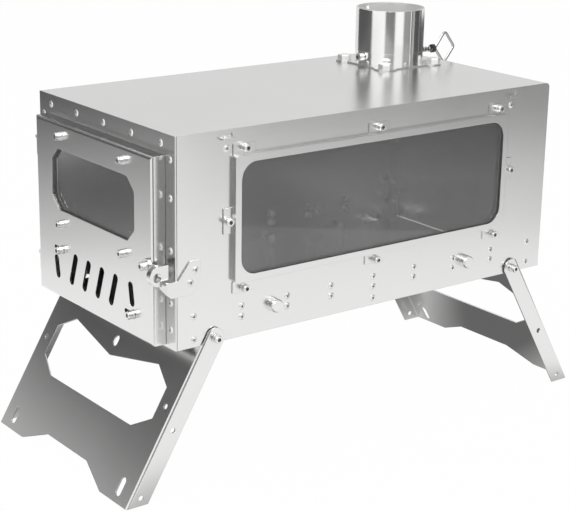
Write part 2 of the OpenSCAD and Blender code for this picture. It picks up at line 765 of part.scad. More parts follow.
// Floor tray on the side panels' bottom flanges, with upright sides behind the screw pairs
module floor_plate() color(steel) difference() {
    z0 = base_z + sheet_t;
    union() {
        translate([-inner_x, flange_y0, z0]) cube([2 * inner_x, flange_y1 - flange_y0, sheet_t]);
        for (s = [-1, 1]) translate([s * (inner_x - sheet_t / 2) - sheet_t / 2, flange_y0, z0])
            cube([sheet_t, flange_y1 - flange_y0, tray_h]);
    }
    for (sx = [-1, 1]) for (sy = [-1, 1])
        translate([
            sx * (inner_x - sheet_t - flange_w / 2) - flange_w / 2, sy * leg_y - notch_l / 2, z0 - over
        ])
            cube([flange_w, notch_l, sheet_t + 2 * over]);
    translate([0, 0, z0 - over]) linear_extrude(sheet_t + 2 * over) holes(floor_places(), screw_d);
    for (s = [-1, 1]) translate([s * inner_x - 2 * sheet_t, 0, 0]) toward_x() linear_extrude(4 * sheet_t) {
        holes(side_places(), screw_d);
        holes([for (sy = [-1, 1]) [sy * side_bolt_y, base_z + side_bolt_z]], side_bolt_shank_d);
        holes([for (sy = [-1, 1]) [sy * leg_y, leg_z]], cap_shank_d);
    }
}

module front_screws() color(bright)
    for (p = front_places())
        translate([p.x, -half_l, p.y]) toward_front() small_screw(2 * sheet_t + seam_gap);

module rear_screws() color(bright) {
    for (p = top_row()) translate([p.x, half_l, p.y]) toward_back() small_screw(2 * sheet_t);
    for (p = rear_places()) translate([p.x, half_l - sheet_t, p.y]) toward_back() small_screw(2 * sheet_t);
}

module window_side_screws() color(bright)
    for (p = side_places()) translate([half_w, p.x, p.y]) toward_x() small_screw(2 * sheet_t);

module plain_side_screws() color(bright) mirror([1, 0, 0])
    for (p = side_places()) translate([half_w, p.x, p.y]) toward_x() small_screw(2 * sheet_t);

module floor_screws() color(bright)
    for (p = floor_places()) translate([p.x, p.y, base_z]) mirror([0, 0, 1]) small_screw(2 * sheet_t);

// Round-headed bolts that stiffen the lower corners of the body
module side_bolts() color(bright)
    for (sx = [0, 1]) mirror([sx, 0, 0]) for (sy = [-1, 1])
        translate([half_w + washer_t, sy * side_bolt_y, base_z + side_bolt_z]) toward_x() {
            cylinder(d = side_bolt_d, h = side_bolt_h - edge_cut);
            translate([0, 0, side_bolt_h - edge_cut])
                cylinder(d1 = side_bolt_d, d2 = side_bolt_d - 2 * edge_cut, h = edge_cut);
            nut_end(2 * sheet_t + washer_t, side_bolt_shank_d, side_bolt_nut);
        }

module side_bolt_washers() color(steel)
    for (sx = [0, 1]) mirror([sx, 0, 0]) for (sy = [-1, 1])
        translate([half_w, sy * side_bolt_y, base_z + side_bolt_z]) toward_x()
            ring(side_washer_d, side_bolt_shank_d + 2 * hole_clear, washer_t);

// Flat ring
module ring(outer, inner, h) difference() {
    cylinder(d = outer, h = h);
    translate([0, 0, -over]) cylinder(d = inner, h = h + 2 * over);
}

// Pressed window frame: border in front, walls back to the panel, and eight fixing ears
module window_frame() color(bright) translate([half_w, 0, 0]) toward_x() {
    difference() {
        linear_extrude(window_rise) translate([0, window_z])
            rounded_rect(window_l, window_h, window_corner);
        translate([0, 0, -over]) linear_extrude(window_rise - window_t + over) translate([0, window_z])
            rounded_rect(window_l - 2 * window_t, window_h - 2 * window_t, window_corner - window_t);
        linear_extrude(window_rise + over) translate([0, window_z])
            rounded_rect(window_l - 2 * window_border, window_h - 2 * window_border, window_r);
    }
    linear_extrude(window_t) difference() {
        for (s = [-1, 0, 1]) for (sz = [-1, 1])
            translate([s * (window_l / 2 - ear_end), window_z + sz * (window_h + ear_w - over) / 2])
                square([ear_l, ear_w + over], center = true);
        translate([0, window_z]) rounded_rect(window_l - window_t, window_h - window_t, window_corner - window_t);
        holes(window_places(), cap_shank_d);
    }
    linear_extrude(window_t) difference() {
        for (s = [-1, 1]) translate([s * (window_l + ear_w - over) / 2, window_z])
            square([ear_w + over, ear_l], center = true);
        holes(window_places(), cap_shank_d);
    }
}

module window_gasket() color("dimgray") translate([half_w, 0, window_z]) toward_x() linear_extrude(gasket_t)
    difference() {
        rounded_rect(side_glass_l, side_glass_h, window_r + glass_lap);
        rounded_rect(panel_open_l, panel_open_h, window_r);
    }

module window_glass() color(smoke) translate([half_w + gasket_t, 0, window_z]) toward_x()
    linear_extrude(side_glass_t) rounded_rect(side_glass_l, side_glass_h, window_r + glass_lap);

module window_cap_screws() color(bright)
    for (p = window_places()) translate([half_w + window_t, p.x, p.y])
        toward_x() cap_screw(p.y > window_z1 ? window_t + 2 * sheet_t : window_t + sheet_t);

module catch_bracket() color(bright) difference() {
    union() {
        translate([half_w, 0, 0]) toward_x() linear_extrude(catch_t)
            polygon([for (k = catch_shares) [catch_out * k.x - half_l, catch_z1 + catch_arm_h * k.y]]);
        translate([block_x0, catch_y1, 0]) toward_front() linear_extrude(catch_t)
            polygon([
                [0, catch_z1 - catch_tip_cut], [catch_tip_cut, catch_z1],
                [half_w + catch_t - block_x0, catch_z1],
                [half_w + catch_t - block_x0, catch_z1 + catch_arm_h * catch_shares[8].y],
                [0, catch_z1 + catch_arm_h * catch_tip_share]
            ]);
    }
    translate([half_w - over, 0, 0]) toward_x() linear_extrude(catch_t + 2 * over)
        holes(catch_places(), screw_d);
}

module catch_screws() color(bright)
    for (p = catch_places())
        translate([half_w + catch_t, p.x, p.y]) toward_x() small_screw(catch_t + sheet_t);

// Moves a hinge's parts to the tops of both hinges
module at_hinges() for (k = hinge_top_shares) translate([hinge_x, hinge_y, base_z + k * body_h]) children();

// Knuckle of a hinge, hanging below z = 0
module knuckle(h) translate([0, 0, -h]) ring(knuckle_d, pin_d + 2 * pin_clear, h);

module frame_hinge_leaves() color(steel) at_hinges()
    for (z = [0, knuckle_l + middle_knuckle_l + 2 * knuckle_gap]) translate([0, 0, -z]) {
        knuckle(knuckle_l);
        difference() {
            union() {
                translate([-leaf_t / 2, 0, -knuckle_l]) cube([leaf_t, hinge_out, knuckle_l]);
                translate([-knuckle_d * foot_share, hinge_out - leaf_t, -knuckle_l])
                    cube([knuckle_d * 2 * foot_share, leaf_t, knuckle_l]);
            }
            translate([0, 0, -knuckle_l - over])
                cylinder(d = pin_d + 2 * pin_clear, h = knuckle_l + 2 * over);
        }
    }

module hinge_pins() color(bright) at_hinges() {
    cylinder(d = pin_head_d, h = pin_head_h);
    translate([0, 0, -hinge_l]) cylinder(d = pin_d, h = hinge_l + over);
}

module door_hinge_lugs() color(steel) at_hinges() translate([0, 0, -knuckle_l - knuckle_gap]) {
    reach = door_side_gap - hinge_inset;
    knuckle(middle_knuckle_l);
    difference() {
        union() {
            translate([0, -leaf_t / 2, -middle_knuckle_l]) cube([reach, leaf_t, middle_knuckle_l]);
            translate([reach - leaf_t, -knuckle_d * foot_share, -middle_knuckle_l])
                cube([leaf_t, knuckle_d * 2 * foot_share, middle_knuckle_l]);
        }
        translate([0, 0, -middle_knuckle_l - over])
            cylinder(d = pin_d + 2 * pin_clear, h = middle_knuckle_l + 2 * over);
    }
}

// Profile with its two front corners round, front at y = 0
module round_front(w, d, r) {
    translate([-w / 2, r]) square([w, d - r]);
    translate([-w / 2 + r, 0]) square([w - 2 * r, d - r]);
    for (s = [-1, 1]) translate([s * (w / 2 - r), r]) circle(r);
}

// Box whose front edges are all round, front at y = 0, centred in X and Z
module round_front_box(w, h, d, r) intersection() {
    translate([0, 0, -h / 2]) linear_extrude(h) round_front(w, d, r);
    rotate([0, 90, 0]) translate([0, 0, -w / 2]) linear_extrude(w) round_front(h, d, r);
}

// Octagonal opening of the door, grown on every side
module glazing(grow) {
    w = glazing_w / 2 + grow;
    h = glazing_h / 2 + grow;
    c = glazing_cut + grow * (2 - sqrt(2));
    polygon([
        [-w, -h + c], [-w + c, -h], [w - c, -h], [w, -h + c],
        [w, h - c], [w - c, h], [-w + c, h], [-w, h - c]
    ]);
}

// The six leaning vents of the air inlet, in X and Z, grown on every side
module vents(grow) translate([0, vent_mid_z]) {
    for (i = [0.5 - vent_pairs:vent_pairs - 0.5]) translate([i * vent_pitch, 0])
        rotate(-vent_lean) slot(vent_l + 2 * grow, vent_w + 2 * grow);
    for (s = [-1, 1]) translate([s * end_vent_x, s * end_vent_shift])
        rotate(-end_vent_lean) slot(end_vent_l + 2 * grow, vent_w + 2 * grow);
}

module door_panel() color(bright) difference() {
    translate([0, door_face_y, door_z0 + door_h / 2]) difference() {
        round_front_box(door_w, door_h, door_depth, door_bend_r);
        translate([0, door_t, 0])
            round_front_box(door_w - 2 * door_t, door_h - 2 * door_t, door_depth, door_bend_r - door_t);
    }
    translate([0, door_inner_y + over, 0]) toward_front() linear_extrude(door_t + 2 * over) {
        translate([0, glazing_z]) glazing(0);
        vents(0);
        holes(retainer_places(), cap_shank_d);
        holes([[latch_x, pivot_z]], cap_shank_d);
        for (p = slide_places()) translate([p.x - slide_travel / 2, p.y]) rotate(90)
            slot(slide_travel + cap_shank_d + 4 * hole_clear, cap_shank_d + 2 * hole_clear);
    }
}

module door_glass() color(smoke) translate([0, door_inner_y + door_glass_t, glazing_z])
    toward_front() linear_extrude(door_glass_t) glazing(door_glass_lap);

module glass_retainer() color(steel) difference() {
    translate([0, retainer_back_y, glazing_z]) toward_front() linear_extrude(retainer_t) difference() {
        square([
            glazing_w + 2 * (door_glass_lap + retainer_edge), glazing_h + 2 * (glazing_screw_gap + retainer_edge)
        ], center = true);
        glazing(0);
    }
    translate([0, retainer_back_y + over, 0]) toward_front() linear_extrude(retainer_t + 2 * over)
        holes(retainer_places(), cap_shank_d);
}

module glass_cap_screws() color(bright)
    for (p = retainer_places()) translate([p.x, door_face_y, p.y])
        toward_front() cap_screw(retainer_back_y - door_face_y);

module latch_pivot_screw() color(bright) translate([latch_x, arm_y0 - play, pivot_z])
    toward_front() cap_screw(door_inner_y - arm_y0 + play);

module air_slide() color(steel)
translate([0, slide_y1, 0]) toward_front() linear_extrude(slide_t) difference() {
    translate([-end_vent_x - slide_border, vent_mid_z - slide_half_h])
        square([2 * (end_vent_x + slide_border) + slide_travel, 2 * slide_half_h]);
    vents(slide_room);
    holes(slide_places(), cap_shank_d);
}

module air_slide_screws() color(bright)
    for (p = slide_places()) translate([p.x, door_face_y - play, p.y])
        toward_front() cap_screw(slide_y1 - door_face_y + play);

// Latch: hub and arm in front of the door, block beside it with a notch over the catch
module latch_block() color(bright) difference() {
    union() {
        translate([latch_x, arm_y1, pivot_z]) toward_front() cylinder(d = latch_hub_d, h = latch_arm_t);
        translate([latch_x, arm_y0, block_z1 - latch_arm_h])
            cube([block_x0 + over - latch_x, latch_arm_t, latch_arm_h]);
        difference() {
            translate([block_x0, 0, 0]) toward_x() linear_extrude(block_w) {
                translate([block_y0 + block_r, block_z0]) square([block_l - block_r, block_h]);
                translate([block_y0, block_z0 + block_r]) square([block_l, block_h - 2 * block_r]);
                for (z = [block_z0 + block_r, block_z1 - block_r])
                    translate([block_y0 + block_r, z]) circle(block_r);
            }
            translate([block_x0 - over, catch_y0 - catch_gap, block_z0 - over])
                cube([block_w + 2 * over, block_l, notch_z - block_z0 + over]);
        }
        translate([block_x0, block_y1 - tongue_t, block_z0 - tongue_drop])
            cube([block_w * tongue_share, tongue_t, notch_z + over - block_z0 + tongue_drop]);
    }
    translate([latch_x, arm_y1 + over, pivot_z]) toward_front()
        cylinder(d = cap_shank_d + 2 * pin_clear, h = latch_arm_t + 2 * over);
    translate([
        block_x0 - over,
        block_y0 + block_hole_shares.x * block_l,
        block_z0 + block_hole_shares.y * block_h
    ])
        toward_x() cylinder(d = block_hole_d, h = block_w + 2 * over);
}

// Cross section of a leg: plate in front, side flanges towards +Y
module leg_section() intersection() {
    difference() {
        translate([0, leg_r]) rounded_rect(2 * leg_x1, 2 * leg_flange_w, leg_bend_r + leg_t);
        translate([0, leg_r]) rounded_rect(2 * leg_x0, 2 * (leg_flange_w - leg_t), leg_bend_r);
    }
    translate([-leg_x1, -leg_r]) square([2 * leg_x1, 2 * leg_r]);
}

// Openings of a leg's plate, in X and distance from the pivot
module leg_openings() {
    polygon([
        [-leg_open_w, leg_open_mid], [-leg_open_peak, leg_open_top], [0, leg_open_mid],
        [leg_open_peak, leg_open_top], [leg_open_w, leg_open_mid], [leg_open_w, leg_open_mid + leg_open_side],
        [leg_open_peak, leg_open_base], [-leg_open_peak, leg_open_base],
        [-leg_open_w, leg_open_mid + leg_open_side]
    ]);
    polygon([
        [-arch_w, leg_reach + leg_r], [-arch_w, leg_reach], [-arch_top_w, leg_reach - arch_h],
        [arch_top_w, leg_reach - arch_h], [arch_w, leg_reach], [arch_w, leg_reach + leg_r]
    ]);
    for (s = [-1, 1]) translate([s * foot_slot_x, leg_reach - foot_slot_up]) slot(foot_slot_l, foot_slot_w);
    for (s = [-1, 1]) translate([s * leg_hole_x, (leg_open_mid + leg_open_base - leg_open_side / 2) / 2])
        circle(d = leg_hole_d);
    translate([0, leg_open_top]) slot(mid_slot_l, mid_slot_w);
}

// Leg hanging straight down from its pivot axis
module leg_blank() difference() {
    intersection() {
        translate([0, 0, -leg_reach - leg_r]) linear_extrude(leg_reach + 2 * leg_r) leg_section();
        translate([-leg_x1 - over, 0, 0]) toward_x() linear_extrude(2 * (leg_x1 + over)) {
            circle(leg_r);
            translate([-leg_r, -leg_reach - leg_r]) square([2 * leg_r, leg_reach + leg_r]);
        }
    }
    translate([-leg_x0, -leg_r - over, -plate_top])
        cube([2 * leg_x0, 2 * leg_r + 2 * over, plate_top + 2 * leg_r]);
    translate([0, leg_t + over - leg_r, 0]) toward_front() linear_extrude(leg_t + 2 * over)
        mirror([0, 1]) leg_openings();
    translate([-leg_x1 - over, 0, 0]) toward_x() {
        cylinder(d = cap_shank_d + 2 * pin_clear, h = 2 * (leg_x1 + over));
        for (k = flange_hole_shares) translate([0, -k * leg_reach, 0])
            cylinder(d = leg_hole_d, h = 2 * (leg_x1 + over));
    }
}

// Standing front leg, its feet cut level with the ground
module standing_leg() difference() {
    translate([0, -leg_y, leg_z]) rotate([-leg_lean, 0, 0]) leg_blank();
    translate([-2 * leg_x1, -leg_y - 2 * leg_reach, -2 * leg_r])
        cube([4 * leg_x1, 4 * leg_reach, 2 * leg_r]);
}

module front_leg() color(bright) standing_leg();

module rear_leg() color(bright) mirror([0, 1, 0]) standing_leg();

module leg_pivot_screws() color(bright)
    for (sx = [0, 1]) mirror([sx, 0, 0]) for (sy = [-1, 1])
        translate([leg_x1 + play, sy * leg_y, leg_z])
            toward_x() cap_screw(leg_x1 + play - inner_x + sheet_t);

module leg_washers() color(steel)
    for (sx = [0, 1]) mirror([sx, 0, 0]) for (sy = [-1, 1])
        translate([half_w, sy * leg_y, leg_z]) toward_x()
            ring(leg_flange_w * leg_washer_share, cap_shank_d + 2 * hole_clear, washer_t);

module flue_collar() color(bright) translate([-flue_x, flue_y, top_z]) difference() {
    union() {
        translate([0, 0, collar_flange_t]) cylinder(r = collar_r - collar_step, h = collar_h - collar_flange_t);
        translate([0, 0, collar_seat_z]) cylinder(r = collar_r, h = collar_h - collar_seat_z);
    }
    cylinder(d = collar_bore_d, h = collar_h + over);
    collar_holes();
}

// Holes of the collar's wall: damper shaft, rivets and the small hole near the rim
module collar_holes() {
    translate([0, collar_r + over, damper_z]) toward_front()
        cylinder(d = shaft_d + 2 * shaft_clear, h = 2 * (collar_r + over));
    for (a = rivet_angles()) rotate(a) translate([0, 0, rivet_z]) toward_x()
        cylinder(d = rivet_shank_d + 2 * hole_clear, h = collar_r + over);
    rotate(rim_hole_turn) translate([0, 0, collar_h - rim_hole_drop]) toward_x()
        cylinder(d = rivet_d, h = collar_r + over);
}

// Eared flange plate with the neck that the collar is riveted to
module collar_flange_plate() color(steel) translate([-flue_x, flue_y, top_z]) difference() {
    union() {
        linear_extrude(collar_flange_t) for (a = [0:90:270]) rotate(a) polygon([
            [0, 0], [collar_flange, -collar_flange + flange_cut],
            [collar_flange, -collar_flange + flange_ear], [collar_flange - flange_recess, -flange_notch_y],
            [collar_flange - flange_recess, flange_notch_y], [collar_flange, collar_flange - flange_ear],
            [collar_flange, collar_flange - flange_cut], [collar_flange - flange_cut, collar_flange]
        ]);
        cylinder(d = collar_bore_d - 2 * hole_clear, h = neck_h);
    }
    translate([0, 0, -over]) cylinder(r = neck_r, h = neck_h + 2 * over);
    for (sx = [-1, 1]) for (sy = [-1, 1]) translate([sx * flange_bolt_x, sy * flange_bolt_x, -over])
        cylinder(d = flange_shank_d + 2 * hole_clear, h = collar_flange_t + 2 * over);
    for (a = rivet_angles()) rotate(a) translate([0, 0, rivet_z]) toward_x()
        cylinder(d = rivet_shank_d + 2 * hole_clear, h = collar_r + over);
}

module collar_rivets() color(steel)
    for (a = rivet_angles()) translate([-flue_x, flue_y, top_z + rivet_z]) rotate(a) toward_x() {
        translate([0, 0, collar_r - collar_step]) cylinder(d1 = rivet_d, d2 = rivet_d - rivet_h, h = rivet_h);
        translate([0, 0, rivet_seat_r - rivet_h / 2]) cylinder(d = rivet_d, h = rivet_h / 2);
        translate([0, 0, rivet_seat_r - rivet_h / 2])
            cylinder(d = rivet_shank_d, h = collar_r - rivet_seat_r + rivet_h);
    }

// Places the four flange bolts of the flue
module at_flange_bolts() for (sx = [-1, 1]) for (sy = [-1, 1])
    translate([sx * flange_bolt_x - flue_x, flue_y + sy * flange_bolt_x, 0]) children();

module flange_bolts() color(bright) at_flange_bolts() {
    translate([0, 0, top_z + collar_flange_t]) cylinder(d = flange_bolt_d, h = flange_bolt_h, $fn = 6);
    translate([0, 0, top_z + collar_flange_t]) nut_end(
        baffle_drop + collar_flange_t + sheet_t, flange_shank_d, flange_nut);
}

module baffle_spacers() color(steel) at_flange_bolts() translate([0, 0, baffle_z])
    ring(spacer_d, flange_shank_d + 2 * hole_clear, baffle_drop - sheet_t);

module baffle_plate() color("gray") difference() {
    translate([-flue_x - baffle_half, flue_y - baffle_half, baffle_z - sheet_t])
        cube([2 * baffle_half, 2 * baffle_half, sheet_t]);
    at_flange_bolts() translate([0, 0, baffle_z - sheet_t - over])
        cylinder(d = flange_shank_d + 2 * hole_clear, h = sheet_t + 2 * over);
}

// Round blade beside the shaft, held by two saddles
module damper_blade() color("gray") translate([-flue_x, flue_y, shaft_z]) difference() {
    union() {
        translate([shaft_d / 2 + hole_clear, 0, 0]) toward_x() cylinder(r = blade_r, h = blade_t);
        for (s = [-1, 1]) translate([
            -shaft_d / 2 - blade_t, s * blade_r / 2 - saddle_l / 2, -shaft_d / 2 - blade_t
        ]) cube([shaft_d + 2 * blade_t, saddle_l, shaft_d + 2 * blade_t]);
    }
    translate([0, blade_r, 0]) toward_front() cylinder(d = shaft_d + 2 * hole_clear, h = 2 * blade_r);
}

module damper_shaft() color(steel) translate([-flue_x, nut_y - thread_l, shaft_z]) toward_back()
    cylinder(d = shaft_d, h = handle_y - nut_y + thread_l);

module damper_end_nut() color(bright) translate([-flue_x, nut_y, shaft_z]) toward_back()
    ring(end_nut_d, shaft_d + 2 * shaft_clear, end_nut_h);

module damper_stop_washer() color("dimgray") translate([-flue_x, stop_y, shaft_z]) toward_back()
    ring(stop_d, shaft_d + 2 * shaft_clear, stop_t);

// Diamond-shaped wire handle in an upright plane
module damper_handle() color(bright) translate([-flue_x, handle_y, shaft_z]) {
    corners = [for (k = handle_shares)
        [k.x * (handle_l - handle_wire) + handle_wire / 2, k.y * (handle_half - handle_wire / 2)]];
    toward_back() cylinder(d = handle_wire, h = handle_wire / 2);
    for (i = [0:3]) {
        a = corners[i];
        b = corners[(i + 1) % 4];
        translate([0, a.x, a.y]) {
            sphere(d = handle_wire * weld_share);
            rotate([atan2(b.y - a.y, b.x - a.x), 0, 0]) toward_back()
                cylinder(d = handle_wire, h = norm(b - a));
        }
    }
}

// Route of the spring's wire: straight at both ends, curls between
function spring_route() = concat(
    [[spring_r, 0, 0]],
    [for (i = [0:spring_turns * spring_rings]) let (a = 360 * i / spring_rings) [
        spring_r * cos(a), spring_r * sin(a),
        spring_wire + (spring_l - 2 * spring_wire) * i / (spring_turns * spring_rings)
    ]],
    [[spring_r, 0, spring_l]]
);

// Ring of points around a route's point, square to the axial end or to the curl
function spring_ring(p, i, last) = let (
    a = atan2(p.y, p.x),
    out = [cos(a), sin(a), 0],
    flat = (i == 0 || i == last) ? [sin(a), -cos(a), 0] : [0, 0, 1]
) [for (k = [0:spring_sides - 1]) let (b = 360 * k / spring_sides)
    p + spring_wire / 2 * (cos(b) * out + sin(b) * flat)];

module damper_spring() color(bright) {
    route = spring_route();
    last = len(route) - 1;
    points = [for (i = [0:last]) each spring_ring(route[i], i, last)];
    sides = [for (i = [0:last - 1]) for (k = [0:spring_sides - 1]) let (
        a = i * spring_sides + k,
        b = i * spring_sides + (k + 1) % spring_sides
    ) each [[a, b, a + spring_sides], [b, b + spring_sides, a + spring_sides]]];
    ends = [for (k = [1:spring_sides - 2]) each [[0, k + 1, k],
        [last * spring_sides, last * spring_sides + k, last * spring_sides + k + 1]]];
    gap = min([for (i = [1:last - 1]) for (j = [i + spring_rings / 2:last - 1])
        norm(route[i] - route[j])]) - spring_wire;
    echo(spring_gap_mm = gap);
    translate([-flue_x, spring_y0, shaft_z]) toward_back() polyhedron(points, concat(sides, ends));
}

top_plate();
side_panel_window();
side_panel_plain();
front_frame();
rear_panel();
floor_plate();
front_screws();
rear_screws();
window_side_screws();
plain_side_screws();
floor_screws();
side_bolts();
side_bolt_washers();
window_frame();
window_gasket();
window_glass();
window_cap_screws();
catch_bracket();
catch_screws();
frame_hinge_leaves();
hinge_pins();
door_panel();
door_hinge_lugs();
door_glass();
glass_retainer();
glass_cap_screws();
latch_pivot_screw();
air_slide();
air_slide_screws();
latch_block();
front_leg();
rear_leg();
leg_pivot_screws();
leg_washers();
flue_collar();
collar_flange_plate();
flange_bolts();
collar_rivets();
baffle_plate();
baffle_spacers();
damper_blade();
damper_shaft();
damper_end_nut();
damper_spring();
damper_stop_washer();
damper_handle();
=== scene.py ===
"""Looks of the tent wood stove: studio, camera, finishes, and the pieces that Blender details.

All lengths are in metres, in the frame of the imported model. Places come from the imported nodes.
"""

import json
import logging
import math
from collections.abc import Iterable
from dataclasses import dataclass
from enum import Enum

import bmesh
import bpy
from mathutils import Matrix, Vector

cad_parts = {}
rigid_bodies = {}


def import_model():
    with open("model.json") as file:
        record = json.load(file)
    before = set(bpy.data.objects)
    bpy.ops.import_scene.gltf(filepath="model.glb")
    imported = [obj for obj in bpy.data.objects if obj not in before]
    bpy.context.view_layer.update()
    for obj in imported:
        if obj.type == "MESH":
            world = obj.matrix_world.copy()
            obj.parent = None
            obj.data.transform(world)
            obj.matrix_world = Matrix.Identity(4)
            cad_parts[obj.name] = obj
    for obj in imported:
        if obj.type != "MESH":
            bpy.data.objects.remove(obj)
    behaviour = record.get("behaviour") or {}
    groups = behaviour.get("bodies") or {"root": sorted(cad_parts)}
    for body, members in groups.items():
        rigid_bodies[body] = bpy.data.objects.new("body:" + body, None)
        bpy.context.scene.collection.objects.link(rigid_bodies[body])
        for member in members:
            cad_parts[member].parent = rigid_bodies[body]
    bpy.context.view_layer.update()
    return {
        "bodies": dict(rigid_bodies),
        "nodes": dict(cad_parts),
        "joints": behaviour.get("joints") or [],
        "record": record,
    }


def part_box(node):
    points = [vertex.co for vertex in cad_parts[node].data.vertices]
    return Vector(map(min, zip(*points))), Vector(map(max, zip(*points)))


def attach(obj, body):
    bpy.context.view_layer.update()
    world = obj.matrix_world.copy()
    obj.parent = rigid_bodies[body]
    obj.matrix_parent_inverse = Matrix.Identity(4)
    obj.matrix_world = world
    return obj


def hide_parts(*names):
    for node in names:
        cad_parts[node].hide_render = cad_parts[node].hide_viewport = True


log = logging.getLogger("tent_stove")

Material = bpy.types.Material
NodeTree = bpy.types.NodeTree
Object = bpy.types.Object
Number = float | int
Pair = tuple[float, float]
Triple = tuple[float, float, float]
Box = tuple[Vector, Vector]

BLACK = (0.0, 0.0, 0.0, 1.0)
WHITE = (1.0, 1.0, 1.0, 1.0)
STEEL_WHITE = (1.0, 0.998, 0.992)
WARM_WHITE = (1.0, 0.98, 0.95)
NOISE_MEAN = 0.5
ROUGHNESS_LIMITS = (0.04, 0.9)
MIX_COLOUR_OUTPUT = 2
EDGE_SAMPLES = 4
STOVE_MIDDLE = (0.0, 0.0, 0.2)
SMOOTH_ANGLE = math.radians(35)
SAME_PLACE = 1e-6
HEXAGON_SIDES = 6
FLATS_OVER_CORNERS = math.cos(math.pi / HEXAGON_SIDES)


class Value:
    """An output socket that takes part in Python expressions, each operator adding a Math node."""

    def __init__(self, graph: "Graph", socket: bpy.types.NodeSocket) -> None:
        """Keeps a graph and an output socket of one of its nodes."""
        self.graph = graph
        self.socket = socket

    def output(self, name: str | int) -> "Value":
        """Finds another output of the same node, by name or number."""
        return Value(self.graph, self.socket.node.outputs[name])

    def clamped(self, low: Number, high: Number) -> "Value":
        """Holds this value between two limits."""
        return self.graph.node("ShaderNodeClamp", {}, {"Value": self, "Min": low, "Max": high})

    def __add__(self, other: "Value | Number") -> "Value":
        """This plus other."""
        return self.graph.maths("ADD", self, other)

    def __radd__(self, other: Number) -> "Value":
        """Other plus this."""
        return self.graph.maths("ADD", other, self)

    def __sub__(self, other: "Value | Number") -> "Value":
        """This minus other."""
        return self.graph.maths("SUBTRACT", self, other)

    def __rsub__(self, other: Number) -> "Value":
        """Other minus this."""
        return self.graph.maths("SUBTRACT", other, self)

    def __mul__(self, other: "Value | Number") -> "Value":
        """This times other."""
        return self.graph.maths("MULTIPLY", self, other)

    def __rmul__(self, other: Number) -> "Value":
        """Other times this."""
        return self.graph.maths("MULTIPLY", other, self)

    def __truediv__(self, other: "Value | Number") -> "Value":
        """This divided by other."""
        return self.graph.maths("DIVIDE", self, other)


